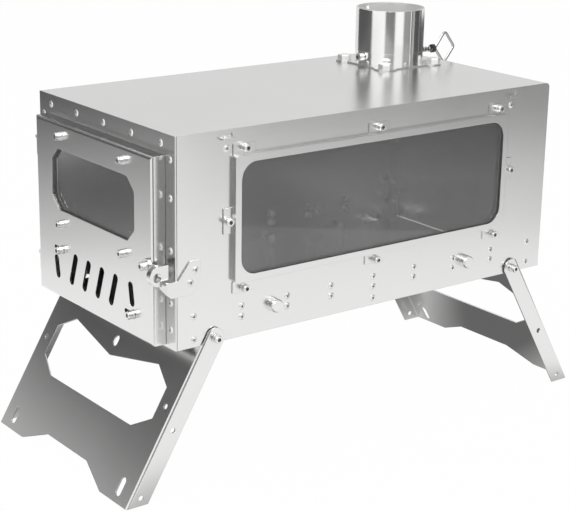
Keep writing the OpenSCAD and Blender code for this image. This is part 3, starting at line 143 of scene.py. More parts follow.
class Graph:
    """Builds the nodes of one tree, for a material, the world or Geometry Nodes."""

    def __init__(self, tree: NodeTree) -> None:
        """Takes over a tree and empties it."""
        self.tree = tree
        tree.nodes.clear()

    def node(
        self,
        kind: str,
        settings: dict | None = None,
        inputs: dict | None = None,
        output: str | int = 0,
    ) -> Value:
        """Adds one node.

        Args:
            kind: The node's type.
            settings: Its properties, set before its inputs.
            inputs: Values or links of its input sockets, by name or number.
            output: Which output the result stands for.

        Returns:
            The chosen output, or the node's first input where it has no output.
        """
        made = self.tree.nodes.new(kind)
        for name, value in (settings or {}).items():
            setattr(made, name, value)
        for key, value in (inputs or {}).items():
            for one in value if isinstance(value, list) else [value]:
                self._feed(made.inputs[key], one)
        return Value(self, made.outputs[output] if made.outputs else made.inputs[0])

    def _feed(self, socket: bpy.types.NodeSocket, value: object) -> None:
        """Links or sets one input socket.

        Args:
            socket: The input socket.
            value: An output to link, or a plain value.
        """
        if isinstance(value, Value):
            self.tree.links.new(value.socket, socket)
        else:
            socket.default_value = value

    def maths(self, operation: str, *terms: Value | Number) -> Value:
        """Adds a Math node with the terms as its inputs."""
        return self.node("ShaderNodeMath", {"operation": operation}, dict(enumerate(terms)))

    def split(self, vector: Value) -> tuple[Value, Value, Value]:
        """Splits a vector into its x, y and z."""
        x = self.node("ShaderNodeSeparateXYZ", {}, {"Vector": vector})
        return x, x.output("Y"), x.output("Z")

    def vector(self, x: Value | Number, y: Value | Number, z: Value | Number) -> Value:
        """Makes a vector of its x, y and z."""
        return self.node("ShaderNodeCombineXYZ", {}, {"X": x, "Y": y, "Z": z})

    def noise(self, place: Value, scale: float, detail: float) -> Value:
        """Adds a noise texture, which gives 0 to 1, with a number of finer layers as its detail."""
        inputs = {"Vector": place, "Scale": scale, "Detail": detail}
        return self.node("ShaderNodeTexNoise", {}, inputs)

    def tinted(self, level: Value, tint: Triple) -> Value:
        """Makes a colour between black, at level 0, and a tint, at 1."""
        inputs = {"Factor": level, "A": BLACK, "B": (*tint, 1.0)}
        return self.node("ShaderNodeMix", {"data_type": "RGBA"}, inputs, MIX_COLOUR_OUTPUT)

    def bump(self, height: Value, depth: float, **normal: Value) -> Value:
        """Adds a Bump node, on top of the Normal where one is given."""
        return self.node("ShaderNodeBump", {}, {"Height": height, "Distance": depth, **normal})

    def glow(self, level: Value) -> Value:
        """Adds a white emission of the given strength."""
        return self.node("ShaderNodeEmission", {}, {"Color": WHITE, "Strength": level})

    def surface(self, shader: Value) -> None:
        """Makes a shader the material's surface."""
        self.node("ShaderNodeOutputMaterial", {}, {"Surface": shader})

    def attribute(self, kind: str, name: str) -> Value:
        """Reads a named attribute of the given data type."""
        return self.node("GeometryNodeInputNamedAttribute", {"data_type": kind}, {"Name": name})

    def moved(self, geometry: Value, **how: Value | Triple) -> Value:
        """Moves a geometry by a Translation, Rotation or Scale."""
        return self.node("GeometryNodeTransform", {}, {"Geometry": geometry, **how})

    def join(self, *parts: Value) -> Value:
        """Joins geometries into one."""
        return self.node("GeometryNodeJoinGeometry", {}, {"Geometry": list(parts)})

    def copies(self, points: Value, instance: Value, **how: Value) -> Value:
        """Puts a geometry on points, each copy with its Rotation or Scale."""
        inputs = {"Points": points, "Instance": instance, **how}
        return self.node("GeometryNodeInstanceOnPoints", {}, inputs)

    def finished(self, geometry: Value, finish: Material) -> Value:
        """Makes instances real and gives them a material."""
        real = self.node("GeometryNodeRealizeInstances", {}, {"Geometry": geometry})
        return self.node("GeometryNodeSetMaterial", {}, {"Geometry": real, "Material": finish})

    def tube(self, curve: Value, wire: Value, sides: int, **caps: bool) -> Value:
        """Makes a round wire along a curve.

        Args:
            curve: The wire's middle line.
            wire: The wire's diameter.
            sides: Number of sides of its section.
            caps: The key Fill Caps closes its ends.

        Returns:
            The wire's mesh.
        """
        circle = {"Resolution": sides, "Radius": 0.5 * wire}
        profile = self.node("GeometryNodeCurvePrimitiveCircle", {}, circle)
        inputs = {"Curve": curve, "Profile Curve": profile, **caps}
        return self.node("GeometryNodeCurveToMesh", {}, inputs)


def new_material(name: str) -> tuple[Material, Graph, Value]:
    """Starts a material.

    Args:
        name: The material's name.

    Returns:
        The material, its graph, and the object coordinates in it.
    """
    made = bpy.data.materials.new(name)
    made.use_nodes = True
    graph = Graph(made.node_tree)
    return made, graph, graph.node("ShaderNodeTexCoord", output="Object")


def new_tree(name: str, source: str, sizes: Iterable[str], result: str) -> tuple[Graph, Value]:
    """Starts a Geometry Nodes tree.

    Args:
        name: The tree's name.
        source: Name of the geometry that it starts from.
        sizes: Names of its size inputs.
        result: Name of the geometry that it gives.

    Returns:
        The tree's graph and its group input.
    """
    made = bpy.data.node_groups.new(name, "GeometryNodeTree")
    made.interface.new_socket(source, in_out="INPUT", socket_type="NodeSocketGeometry")
    for size in sizes:
        made.interface.new_socket(size, in_out="INPUT", socket_type="NodeSocketFloat")
    made.interface.new_socket(result, in_out="OUTPUT", socket_type="NodeSocketGeometry")
    graph = Graph(made)
    return graph, graph.node("NodeGroupInput", output=source)


class Grain(Enum):
    """Direction of a finish's fine lines, as the noise's stretch along x, y and z."""

    ALONG_Y = (1400.0, 14.0, 1400.0)
    UPRIGHT = (1400.0, 1400.0, 14.0)
    NONE = (500.0, 500.0, 500.0)


@dataclass(frozen=True)
class Steel:
    """A stainless finish.

    Attributes:
        name: The material's name.
        grey: Its level of grey.
        roughness: Its mean roughness.
        grain: The direction of its fine lines.
        grain_roughness: How far the lines and the clouds move the roughness.
        grain_depth: Depth of the lines.
        grain_detail: The noise's number of finer layers, for the lines and the clouds.
        cloud_scale, cloud_grey: Frequency of the clouds, and how far they move the grey.
        edge_radius: Radius of the broken edges.
        inside_roughness, painted_light_grey: What is added to each where inner() is 1, the grey
            being painted light or painted shade.
    """

    name: str
    grey: float = 0.82
    roughness: float = 0.24
    grain: Grain = Grain.ALONG_Y
    grain_roughness: float = 0.08
    grain_depth: float = 0.000004
    grain_detail: float = 3.0
    cloud_scale: float = 9.0
    cloud_grey: float = 0.035
    edge_radius: float = 0.0004
    inside_roughness: float = 0.0
    painted_light_grey: float = 0.0

    def marked(self, graph: Graph, place: Value, normal: Value) -> Value:
        """Adds marks beside the grain to the normal: none on a plain sheet."""
        return normal

    def inner(self, graph: Graph, place: Value) -> Value | float:
        """Gives 1 where the finish differs and 0 elsewhere: nowhere on a plain sheet."""
        return 0.0

    def material(self) -> Material:
        """Builds the material.

        Returns:
            The new material.
        """
        made, graph, place = new_material(self.name)
        stretch = {"Vector": place, "Scale": self.grain.value}
        along = graph.node("ShaderNodeMapping", {}, stretch)
        lines = graph.noise(along, 1.0, self.grain_detail)
        cloud = graph.noise(place, self.cloud_scale, self.grain_detail) - NOISE_MEAN
        streak = lines - NOISE_MEAN
        inner = self.inner(graph, place)
        level = self.grey + cloud * (2 * self.cloud_grey) + streak * self.cloud_grey
        # Painted light or shade: the grey moves where inner() is 1.
        level = level + inner * self.painted_light_grey
        gloss = self.roughness + (streak + cloud) * self.grain_roughness
        gloss = gloss + inner * self.inside_roughness
        radius = {"Radius": self.edge_radius}
        edge = graph.node("ShaderNodeBevel", {"samples": EDGE_SAMPLES}, radius)
        grained = graph.bump(lines, self.grain_depth, Normal=edge)
        graph.surface(graph.node("ShaderNodeBsdfPrincipled", {}, {
            "Base Color": graph.tinted(level.clamped(0.0, 1.0), STEEL_WHITE),
            "Roughness": gloss.clamped(*ROUGHNESS_LIMITS),
            "Metallic": 1.0,
            "Normal": self.marked(graph, place, grained),
        }))
        return made


@dataclass(frozen=True)
class RolledSteel(Steel):
    """The collar's polished sheet: upright grain, two fine seam lines, and a rougher inside whose
    raised grey is painted light on the bore.

    Attributes:
        axis: Where the collar's axis stands.
        bore: A radius between the collar's inner and outer faces.
        seams: Angles of the seam lines around the axis.
        seam_width, seam_depth: Half their width, as an angle, and their depth.
    """

    axis: Pair = (-0.0484, 0.1368)
    bore: float = 0.0302
    seams: tuple[float, ...] = (-0.05, 0.32)
    seam_width: float = 0.022
    seam_depth: float = 0.0003
    inside_roughness: float = 0.32
    # Painted light: the bore's grey is raised a little.
    painted_light_grey: float = 0.04

    def marked(self, graph: Graph, place: Value, normal: Value) -> Value:
        """Adds the seam lines.

        Args:
            graph: The material's graph.
            place: The object coordinates.
            normal: The normal with the grain.

        Returns:
            The normal with the seam lines.
        """
        x, y, _ = graph.split(place)
        turn = graph.maths("ARCTAN2", y - self.axis[1], x - self.axis[0])
        height = 0.0
        for seam in self.seams:
            off = graph.maths("ABSOLUTE", turn - seam)
            height = height + (1.0 - off / self.seam_width).clamped(0.0, 1.0)
        return graph.bump(height, self.seam_depth, Normal=normal)

    def inner(self, graph: Graph, place: Value) -> Value:
        """Finds the bore.

        Args:
            graph: The material's graph.
            place: The object coordinates.

        Returns:
            1 on the bore and 0 outside.
        """
        x, y, _ = graph.split(place)
        x, y = x - self.axis[0], y - self.axis[1]
        return graph.maths("LESS_THAN", x * x + y * y, self.bore**2)


@dataclass(frozen=True)
class PaintedShadeSteel(Steel):
    """A sheet with painted shade inside the box from low to high, such as on the walls of its slots.
    """

    low: Triple = (0.0, 0.0, 0.0)
    high: Triple = (0.0, 0.0, 0.0)
    inside_roughness: float = 0.3
    # Painted shade: the grey drops inside the box.
    painted_light_grey: float = -0.74

    def inner(self, graph: Graph, place: Value) -> Value:
        """Finds the inside of the box.

        Args:
            graph: The material's graph.
            place: The object coordinates.

        Returns:
            1 inside the box and 0 outside.
        """
        inside = 1.0
        for along, low, high in zip(graph.split(place), self.low, self.high):
            inside = inside * graph.maths("GREATER_THAN", along, low)
            inside = inside * graph.maths("LESS_THAN", along, high)
        return inside


@dataclass(frozen=True)
class SmokedGlass:
    """Dark ceramic glass, seen through by its alpha.

    Attributes:
        name: The material's name.
        tint: Its level of grey.
        opacity: Its mean alpha.
        index: Its index of refraction, which sets how strongly it mirrors.
        roughness: Its least roughness.
        smear_scale, smear_detail: Frequency of the smears, and their number of finer layers.
        smear_start: Level of the noise above which a smear is rough.
        smear_roughness: How far the smears raise the roughness.
        smear_opacity: How far the smears move the alpha.
    """

    name: str
    tint: float = 0.1
    opacity: float = 0.22
    index: float = 3.8
    roughness: float = 0.03
    smear_scale: float = 14.0
    smear_detail: float = 4.0
    smear_start: float = 0.4
    smear_roughness: float = 0.05
    smear_opacity: float = 0.03

    def material(self) -> Material:
        """Builds the material.

        Returns:
            The new material.
        """
        made, graph, place = new_material(self.name)
        smear = graph.noise(place, self.smear_scale, self.smear_detail)
        rough = (smear - self.smear_start).clamped(0.0, 1.0) * self.smear_roughness
        graph.surface(graph.node("ShaderNodeBsdfPrincipled", {}, {
            "Base Color": (self.tint, self.tint, self.tint, 1.0),
            "Roughness": self.roughness + rough,
            "IOR": self.index,
            "Alpha": self.opacity + (smear - NOISE_MEAN) * self.smear_opacity,
        }))
        return made


@dataclass(frozen=True)
class Woven:
    """A dark woven gasket or a dark washer: dull, with a fine weave that raises its grey."""

    name: str
    grey: float = 0.05
    roughness: float = 0.75
    weave_scale: float = 900.0
    weave_depth: float = 0.00008
    weave_roughness: float = 0.1

    def material(self) -> Material:
        """Builds the material.

        Returns:
            The new material.
        """
        made, graph, place = new_material(self.name)
        weave = {"Vector": place, "Scale": self.weave_scale}
        cells = graph.node("ShaderNodeTexVoronoi", {}, weave, "Distance")
        graph.surface(graph.node("ShaderNodeBsdfPrincipled", {}, {
            "Base Color": graph.tinted(self.grey + cells * self.grey, WARM_WHITE),
            "Roughness": self.roughness + cells * self.weave_roughness,
            "Normal": graph.bump(cells, self.weave_depth),
        }))
        return made


@dataclass(frozen=True)
class Camera:
    """The photograph's view of the stove, with its angles in degrees and its lens and sensor in mm.

    The azimuth counts from the door's side towards the window's.
    """

    place: Triple = (1.0134, -0.7841, 0.5287)
    azimuth: float = 52.788
    elevation: float = 17.201
    roll: float = 0.978
    lens: float = 98.72
    sensor: float = 36.0
    clip: Pair = (0.05, 50.0)

    def make(self) -> None:
        """Adds the camera and makes it the scene's."""
        az, el, roll = (math.radians(v) for v in (self.azimuth, self.elevation, self.roll))
        level = math.cos(el)
        back = Vector((math.sin(az) * level, -math.cos(az) * level, math.sin(el)))
        right = Vector((math.cos(az), math.sin(az), 0.0))
        up = back.cross(right)
        turned_right = right * math.cos(roll) + up * math.sin(roll)
        turned_up = up * math.cos(roll) - right * math.sin(roll)
        data = bpy.data.cameras.new("camera")
        data.lens, data.sensor_width = self.lens, self.sensor
        data.clip_start, data.clip_end = self.clip
        camera = bpy.data.objects.new("camera", data)
        camera.matrix_world = Matrix((
            (turned_right.x, turned_up.x, back.x, self.place[0]),
            (turned_right.y, turned_up.y, back.y, self.place[1]),
            (turned_right.z, turned_up.z, back.z, self.place[2]),
            (0.0, 0.0, 0.0, 1.0),
        ))
        bpy.context.collection.objects.link(camera)
        bpy.context.scene.camera = camera


def stage_panel(name: str, corners: list[Vector | Triple], made: Material) -> Object:
    """Adds a flat stage panel.

    Args:
        name: The panel's name.
        corners: Its four corners.
        made: Its material.

    Returns:
        The new object.
    """
    mesh = bpy.data.meshes.new(name)
    mesh.from_pydata([tuple(c) for c in corners], [], [tuple(range(len(corners)))])
    mesh.materials.append(made)
    panel = bpy.data.objects.new(name, mesh)
    bpy.context.collection.objects.link(panel)
    return panel


@dataclass(frozen=True)
class SoftBox:
    """A rectangular lamp that points at the stove."""

    name: str
    place: Triple
    size: Pair
    watts: float

    def make(self) -> None:
        """Adds the lamp."""
        data = bpy.data.lights.new(self.name, "AREA")
        data.shape, data.energy = "RECTANGLE", self.watts
        data.size, data.size_y = self.size
        lamp = bpy.data.objects.new(self.name, data)
        lamp.location = self.place
        way = Vector(STOVE_MIDDLE) - Vector(self.place)
        lamp.rotation_euler = way.to_track_quat("-Z", "Y").to_euler()
        bpy.context.collection.objects.link(lamp)


@dataclass(frozen=True)
class Card:
    """A grey card that stands on the floor, which only reflections see.

    Attributes:
        name: The card's name.
        foot: The middle of its lower edge.
        heading: Direction of its lower edge, in degrees from +X.
        width, height: Its size.
        greys: Its levels of grey below and above the fade.
        fade: Heights at which the fade starts and ends.
    """

    name: str
    foot: Triple
    heading: float
    width: float
    height: float
    greys: Pair
    fade: Pair

    def make(self) -> None:
        """Adds the card."""
        made, graph, place = new_material(self.name)
        _, _, z = graph.split(place)
        share = ((z - self.fade[0]) / (self.fade[1] - self.fade[0])).clamped(0.0, 1.0)
        level = self.greys[0] + share * (self.greys[1] - self.greys[0])
        graph.surface(graph.glow(level))
        angle = math.radians(self.heading)
        along = Vector((math.cos(angle), math.sin(angle), 0.0)) * (self.width / 2)
        left, right = Vector(self.foot) - along, Vector(self.foot) + along
        rise = Vector((0.0, 0.0, self.height))
        card = stage_panel(self.name, [left, right, right + rise, left + rise], made)
        card.visible_camera = card.visible_diffuse = card.visible_shadow = False


@dataclass(frozen=True)
class Studio:
    """White studio: world, floor, soft boxes, and grey cards that the steel reflects.

    Attributes:
        fill: Brightness of the world where it lights.
        floor_half: Half the floor's side.
        floor_paint: The floor's level of grey where it is lit.
        floor_white: Share of plain white in the floor where it is seen, over the lit paint.
        shade_reach: The shade's unit of length under the stove, along x and y.
        shade_end, shade_slope: Where the shade ends, in that unit, and how fast it fades.
        shade_depth: How dark the shade is in reflections.
    """

    fill: float = 0.55
    floor_half: float = 6.0
    floor_paint: float = 0.9
    floor_white: float = 0.985
    shade_reach: Pair = (0.15, 0.34)
    shade_end: float = 1.2
    shade_slope: float = 2.0
    shade_depth: float = 0.85

    FITTINGS = (
        SoftBox("key", (0.9, -1.1, 1.7), (1.1, 0.8), 16.0),
        SoftBox("side", (1.9, 0.9, 1.1), (0.6, 1.2), 9.0),
        SoftBox("left", (-1.3, -0.9, 1.6), (0.5, 0.9), 6.0),
        Card("front_card", (-0.517, -0.378, 0.0), -54.7, 0.95, 0.8, (0.67, 0.09), (0.02, 0.185)),
        Card("side_card", (0.569, 0.408, 0.0), 130.0, 0.5, 0.9, (0.74, 0.3), (0.07, 0.16)),
        Card("rear_card", (0.2, 0.85, 0.0), 130.0, 0.62, 0.9, (0.12, 0.08), (0.0, 0.2)),
        Card("low_card", (-0.2, 0.61, 0.0), 195.0, 0.84, 0.25, (0.12, 0.1), (0.0, 0.2)),
        Card("collar_card", (0.49, -0.311, 0.0), 50.2, 0.4, 0.5, (0.2, 0.2), (0.0, 0.5)),
        Card("back_card", (-1.1, 0.9, 0.0), -127.0, 2.6, 1.6, (0.76, 0.76), (0.0, 1.6)),
    )

    def make(self) -> None:
        """Adds the world, the floor, the lamps and the cards."""
        self._world()
        self._floor()
        for fitting in self.FITTINGS:
            fitting.make()

    def _world(self) -> None:
        """Makes the world white where it is seen or reflected, and greyer where it lights."""
        world = bpy.data.worlds.new("studio")
        bpy.context.scene.world = world
        world.use_nodes = True
        graph = Graph(world.node_tree)
        level = self.fill + self._seen(graph) * (1.0 - self.fill)
        shader = graph.node("ShaderNodeBackground", {}, {"Color": WHITE, "Strength": level})
        graph.node("ShaderNodeOutputWorld", {}, {"Surface": shader})

    def _floor(self) -> None:
        """Adds the floor: white where it is seen, with a faint shadow, darker in reflections."""
        made, graph, place = new_material("floor")
        paint = (self.floor_paint, self.floor_paint, self.floor_paint, 1.0)
        lit = graph.node("ShaderNodeBsdfDiffuse", {}, {"Color": paint})
        scale = (1 / self.shade_reach[0], 1 / self.shade_reach[1], 1.0)
        scaled = graph.node("ShaderNodeMapping", {}, {"Vector": place, "Scale": scale})
        out = graph.node("ShaderNodeVectorMath", {"operation": "LENGTH"}, {0: scaled}, "Value")
        share = (self.shade_end * self.shade_slope - self.shade_slope * out).clamped(0.0, 1.0)
        glossy = graph.node("ShaderNodeLightPath", output="Is Glossy Ray")
        glow = graph.glow(1.0 - share * self.shade_depth * glossy)
        seen = self._seen(graph) * self.floor_white
        graph.surface(graph.node("ShaderNodeMixShader", {}, {0: seen, 1: lit, 2: glow}))
        half = self.floor_half
        sides = ((-half, -half), (half, -half), (half, half), (-half, half))
        stage_panel("floor", [(x, y, 0.0) for x, y in sides], made)

    @staticmethod
    def _seen(graph: Graph) -> Value:
        """Finds the rays that show a surface to the camera.

        Args:
            graph: The graph of a material or of the world.

        Returns:
            1 on camera, glossy and transmission rays, and 0 on the others.
        """
        path = graph.node("ShaderNodeLightPath", output="Is Camera Ray")
        total = path + path.output("Is Glossy Ray") + path.output("Is Transmission Ray")
        return total.clamped(0.0, 1.0)


class Recess(Enum):
    """What is cut into a fastener's head."""

    NONE = 0
    CROSS = 1
    HEXAGON = 2


class Facing(Enum):
    """Which way a node's fasteners face: one direction, or away from the middle of the stove."""

    FRONT = (0.0, -1.0, 0.0)
    REAR = (0.0, 1.0, 0.0)
    WINDOW_SIDE = (1.0, 0.0, 0.0)
    PLAIN_SIDE = (-1.0, 0.0, 0.0)
    UP = (0.0, 0.0, 1.0)
    DOWN = (0.0, 0.0, -1.0)
    OUTWARD = (0.0, 0.0, 0.0)


@dataclass(frozen=True)
class Seat:
    """Where one fastener's head or washer bears, which way it faces, and how much it clamps."""

    point: Vector
    facing: Vector
    grip: float


@dataclass(frozen=True)
class Fastener:
    """A kind of screw or bolt with its washer and nut, laid out on the seats of one node.

    Attributes:
        name: The kind's name.
        head_d, head_h: Diameter of the head over its corners, and its height.
        shank_d: Diameter of the shank.
        nut_flats, nut_h: Width of the nut across its flats, and its height.
        thread: Length of thread past the nut.
        washer_d, washer_t: Diameter and thickness of the washer, 0 for none.
        crown: Share of its radius that the head loses at its top.
        crown_start: Share of the head's height at which that begins.
        knurl: Depth of the knurls as a share of the head's radius, 0 for none.
        sides: Number of sides of the head.
        recess: What is cut into the head.
        recess_w, recess_h: Width of its slots or across its flats, and its depth.
        most_spin, spin_seed: Greatest random turn about the fastener's axis, and its seed.
    """

    name: str
    head_d: float
    head_h: float
    shank_d: float
    nut_flats: float
    nut_h: float = 0.0024
    thread: float = 0.0012
    washer_d: float = 0.0
    washer_t: float = 0.0
    crown: float = 0.3
    crown_start: float = 0.0
    knurl: float = 0.0
    sides: int = 32
    recess: Recess = Recess.NONE
    recess_w: float = 0.0009
    recess_h: float = 0.0006
    most_spin: float = 2 * math.pi
    spin_seed: int = 1

    SHANK_SIDES = 16
    WASHER_SIDES = 32
    HEAD_RINGS = 6
    CROSS_SPAN = 3.6  # length of a cross recess's slots over their width
    HEXAGON_REACH = 0.6  # radius that holds a hexagon recess over its width across flats
    MARK_DEPTH = 0.3  # share of a recess's depth below which its faces count as inside

    def sizes(self) -> dict[str, float]:
        """Lists the tree's inputs.

        Returns:
            The value of each named size.
        """
        return {
            "Head diameter": self.head_d, "Head height": self.head_h,
            "Washer diameter": self.washer_d, "Washer thickness": self.washer_t,
            "Recess width": self.recess_w, "Recess depth": self.recess_h,
            "Shank diameter": self.shank_d, "Nut across flats": self.nut_flats,
            "Nut height": self.nut_h, "Thread": self.thread,
            "Crown": self.crown, "Knurl": self.knurl,
        }

    def seats(self, boxes: list[Box], facing: Facing) -> list[Seat]:
        """Finds the seat of each packed fastener.

        Args:
            boxes: Lower and upper corner of each fastener's box.
            facing: Which way they face.

        Returns:
            One seat for each box.
        """
        found = []
        for low, high in boxes:
            middle = (low + high) / 2
            way = Vector(facing.value)
            if facing is Facing.OUTWARD:
                way = Vector((math.copysign(1.0, middle.x), 0.0, 0.0))
            length = abs((high - low).dot(way))
            stack = self.washer_t + self.head_h
            point = middle + way * (length / 2 - stack)
            found.append(Seat(point, way, length - stack - self.nut_h - self.thread))
        return found

    def tree(self, finish: Material, plating: Material, shade: Material) -> NodeTree:
        """Builds the tree that puts one fastener on each seat.

        Args:
            finish: The material of the heads and washers.
            plating: The material of the shanks and nuts.
            shade: The material inside a recess, a dark steel that paints shade there.

        Returns:
            The tree, with one named input for each size.
        """
        graph, given = new_tree(self.name, "Seats", self.sizes(), "Fasteners")
        facing, grip = graph.attribute("FLOAT_VECTOR", "facing"), graph.attribute("FLOAT", "grip")
        turned = self._turned(graph, facing)
        heads = graph.copies(given, self._top(graph, given), Rotation=turned)

        # The shank is a rod of unit length below the seat, which each copy's scale stretches.
        nut_h, thread = given.output("Nut height"), given.output("Thread")
        shank = self._rod(graph, given.output("Shank diameter"), 1.0, -0.5, self.SHANK_SIDES)
        stretch = graph.vector(1.0, 1.0, grip + nut_h + thread)
        shanks = graph.copies(given, shank, Rotation=turned, Scale=stretch)

        scaled = {0: facing, "Scale": -1.0 * grip}
        sunk = graph.node("ShaderNodeVectorMath", {"operation": "SCALE"}, scaled)
        behind = graph.node("GeometryNodeSetPosition", {}, {"Geometry": given, "Offset": sunk})
        nut_d = given.output("Nut across flats") / FLATS_OVER_CORNERS
        nut = self._rod(graph, nut_d, nut_h, -0.5 * nut_h, HEXAGON_SIDES)
        nuts = graph.copies(behind, nut, Rotation=turned)

        plated = graph.finished(graph.join(shanks, nuts), plating)
        # The faces inside a recess get the painted shade.
        inside = graph.attribute("BOOLEAN", "recess")
        inputs = {"Geometry": graph.finished(heads, finish), "Selection": inside}
        shaded = graph.node("GeometryNodeSetMaterial", {}, {**inputs, "Material": shade})
        graph.node("NodeGroupOutput", {}, {0: graph.join(shaded, plated)})
        return graph.tree

    def _turned(self, graph: Graph, facing: Value) -> Value:
        """Aims a fastener and spins it about its axis.

        Args:
            graph: The tree's graph.
            facing: Which way the fastener faces.

        Returns:
            Its rotation.
        """
        aimed = graph.node("FunctionNodeAlignRotationToVector", {"axis": "Z"}, {"Vector": facing})
        # Inputs 2 and 3 are the limits of the number that output 1 gives.
        limits = {2: 0.0, 3: self.most_spin, "Seed": self.spin_seed}
        angle = graph.node("FunctionNodeRandomValue", {"data_type": "FLOAT"}, limits, 1)
        about = {"Axis": Facing.UP.value, "Angle": angle}
        spin = graph.node("FunctionNodeAxisAngleToRotation", {}, about)
        both = {"Rotation": aimed, "Rotate By": spin}
        return graph.node("FunctionNodeRotateRotation", {"rotation_space": "LOCAL"}, both)

    def _top(self, graph: Graph, given: Value) -> Value:
        """Makes the head, and the washer where there is one.

        Args:
            graph: The tree's graph.
            given: The group input.

        Returns:
            Their mesh, with the seat at its origin.
        """
        head = self._head(graph, given)
        if not self.washer_t:
            return head
        washer_d, washer_t = given.output("Washer diameter"), given.output("Washer thickness")
        washer = self._rod(graph, washer_d, washer_t, 0.5 * washer_t, self.WASHER_SIDES)
        return graph.join(head, washer)

    def _head(self, graph: Graph, given: Value) -> Value:
        """Makes the head: narrowed towards its top, knurled and recessed as its kind is.

        Args:
            graph: The tree's graph.
            given: The group input.

        Returns:
            Its mesh.
        """
        head_h = given.output("Head height")
        blank = graph.node("GeometryNodeMeshCylinder", {"fill_type": "TRIANGLE_FAN"}, {
            "Vertices": self.sides, "Side Segments": self.HEAD_RINGS,
            "Radius": 0.5 * given.output("Head diameter"), "Depth": head_h,
        })
        x, y, z = graph.split(graph.node("GeometryNodeInputPosition"))
        share = (z / head_h + 0.5 - self.crown_start) / (1.0 - self.crown_start)
        rise = share.clamped(0.0, 1.0)
        narrow = 1.0 - given.output("Crown") * rise * rise
        if self.knurl:
            parity = graph.maths("MODULO", graph.node("GeometryNodeInputIndex"), 2.0)
            narrow = narrow - given.output("Knurl") * parity * (1.0 - rise)
        height = z + 0.5 * head_h + given.output("Washer thickness")
        shaped = graph.vector(x * narrow, y * narrow, height)
        placed = {"Geometry": blank, "Position": shaped}
        head = graph.node("GeometryNodeSetPosition", {}, placed)
        return head if self.recess is Recess.NONE else self._recessed(graph, given, head)

    def _recessed(self, graph: Graph, given: Value, head: Value) -> Value:
        """Cuts the cross or the hexagon into the head's top and marks the faces inside it.

        Args:
            graph: The tree's graph.
            given: The group input.
            head: The head's mesh.

        Returns:
            The cut head, with the face attribute recess.
        """
        width, depth = given.output("Recess width"), given.output("Recess depth")
        top = given.output("Washer thickness") + given.output("Head height")
        if self.recess is Recess.HEXAGON:
            corners = width / FLATS_OVER_CORNERS
            cutters = [self._rod(graph, corners, 2.0 * depth, top, HEXAGON_SIDES)]
            reach = self.HEXAGON_REACH * width
        else:
            long = self.CROSS_SPAN * width
            cutters = [
                self._bar(graph, long, width, depth, top), self._bar(graph, width, long, depth, top)
            ]
            reach = 0.5 * self.CROSS_SPAN * width
        meshes = {"Mesh 1": head, "Mesh 2": graph.join(*cutters), "Self Intersection": True}
        exact = {"operation": "DIFFERENCE", "solver": "EXACT"}
        cut = graph.node("GeometryNodeMeshBoolean", exact, meshes)
        x, y, z = graph.split(graph.node("GeometryNodeInputPosition"))
        near = graph.maths("LESS_THAN", x * x + y * y, reach * reach)
        low = graph.maths("LESS_THAN", z, top - self.MARK_DEPTH * depth)
        kind = {"data_type": "BOOLEAN", "domain": "FACE"}
        mark = {"Geometry": cut, "Name": "recess", "Value": near * low}
        return graph.node("GeometryNodeStoreNamedAttribute", kind, mark)

    @staticmethod
    def _bar(graph: Graph, x: Value, y: Value, depth: Value, z: Value) -> Value:
        """Makes a bar around height z that cuts one slot of a cross recess."""
        bar = graph.node("GeometryNodeMeshCube", {}, {"Size": graph.vector(x, y, 2.0 * depth)})
        return graph.moved(bar, Translation=graph.vector(0.0, 0.0, z))

    @staticmethod
    def _rod(
        graph: Graph, diameter: Value, length: Value | float, z: Value | float, sides: int
    ) -> Value:
        """Makes a closed prism or rod on the fastener's axis.

        Args:
            graph: The tree's graph.
            diameter: Its diameter across corners.
            length: Its length.
            z: Height of its middle.
            sides: Number of its sides.

        Returns:
            Its mesh.
        """
        size = {"Vertices": sides, "Radius": 0.5 * diameter, "Depth": length}
        rod = graph.node("GeometryNodeMeshCylinder", {"fill_type": "NGON"}, size)
        return graph.moved(rod, Translation=graph.vector(0.0, 0.0, z))

    def lay_out(self, node: str, body: str, seats: list[Seat], tree: NodeTree) -> Object:
        """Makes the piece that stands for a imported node.

        Args:
            node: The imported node.
            body: The body that it rides on.
            seats: One seat for each fastener.
            tree: The tree that lays them out.

        Returns:
            The finished piece.
        """
        mesh = bpy.data.meshes.new(node)
        mesh.from_pydata([tuple(s.point) for s in seats], [], [])
        facing = mesh.attributes.new("facing", "FLOAT_VECTOR", "POINT")
        facing.data.foreach_set("vector", [c for s in seats for c in s.facing])
        grip = mesh.attributes.new("grip", "FLOAT", "POINT")
        grip.data.foreach_set("value", [s.grip for s in seats])
        return grown(f"{node}_detail", mesh, tree, self.sizes(), body, node)


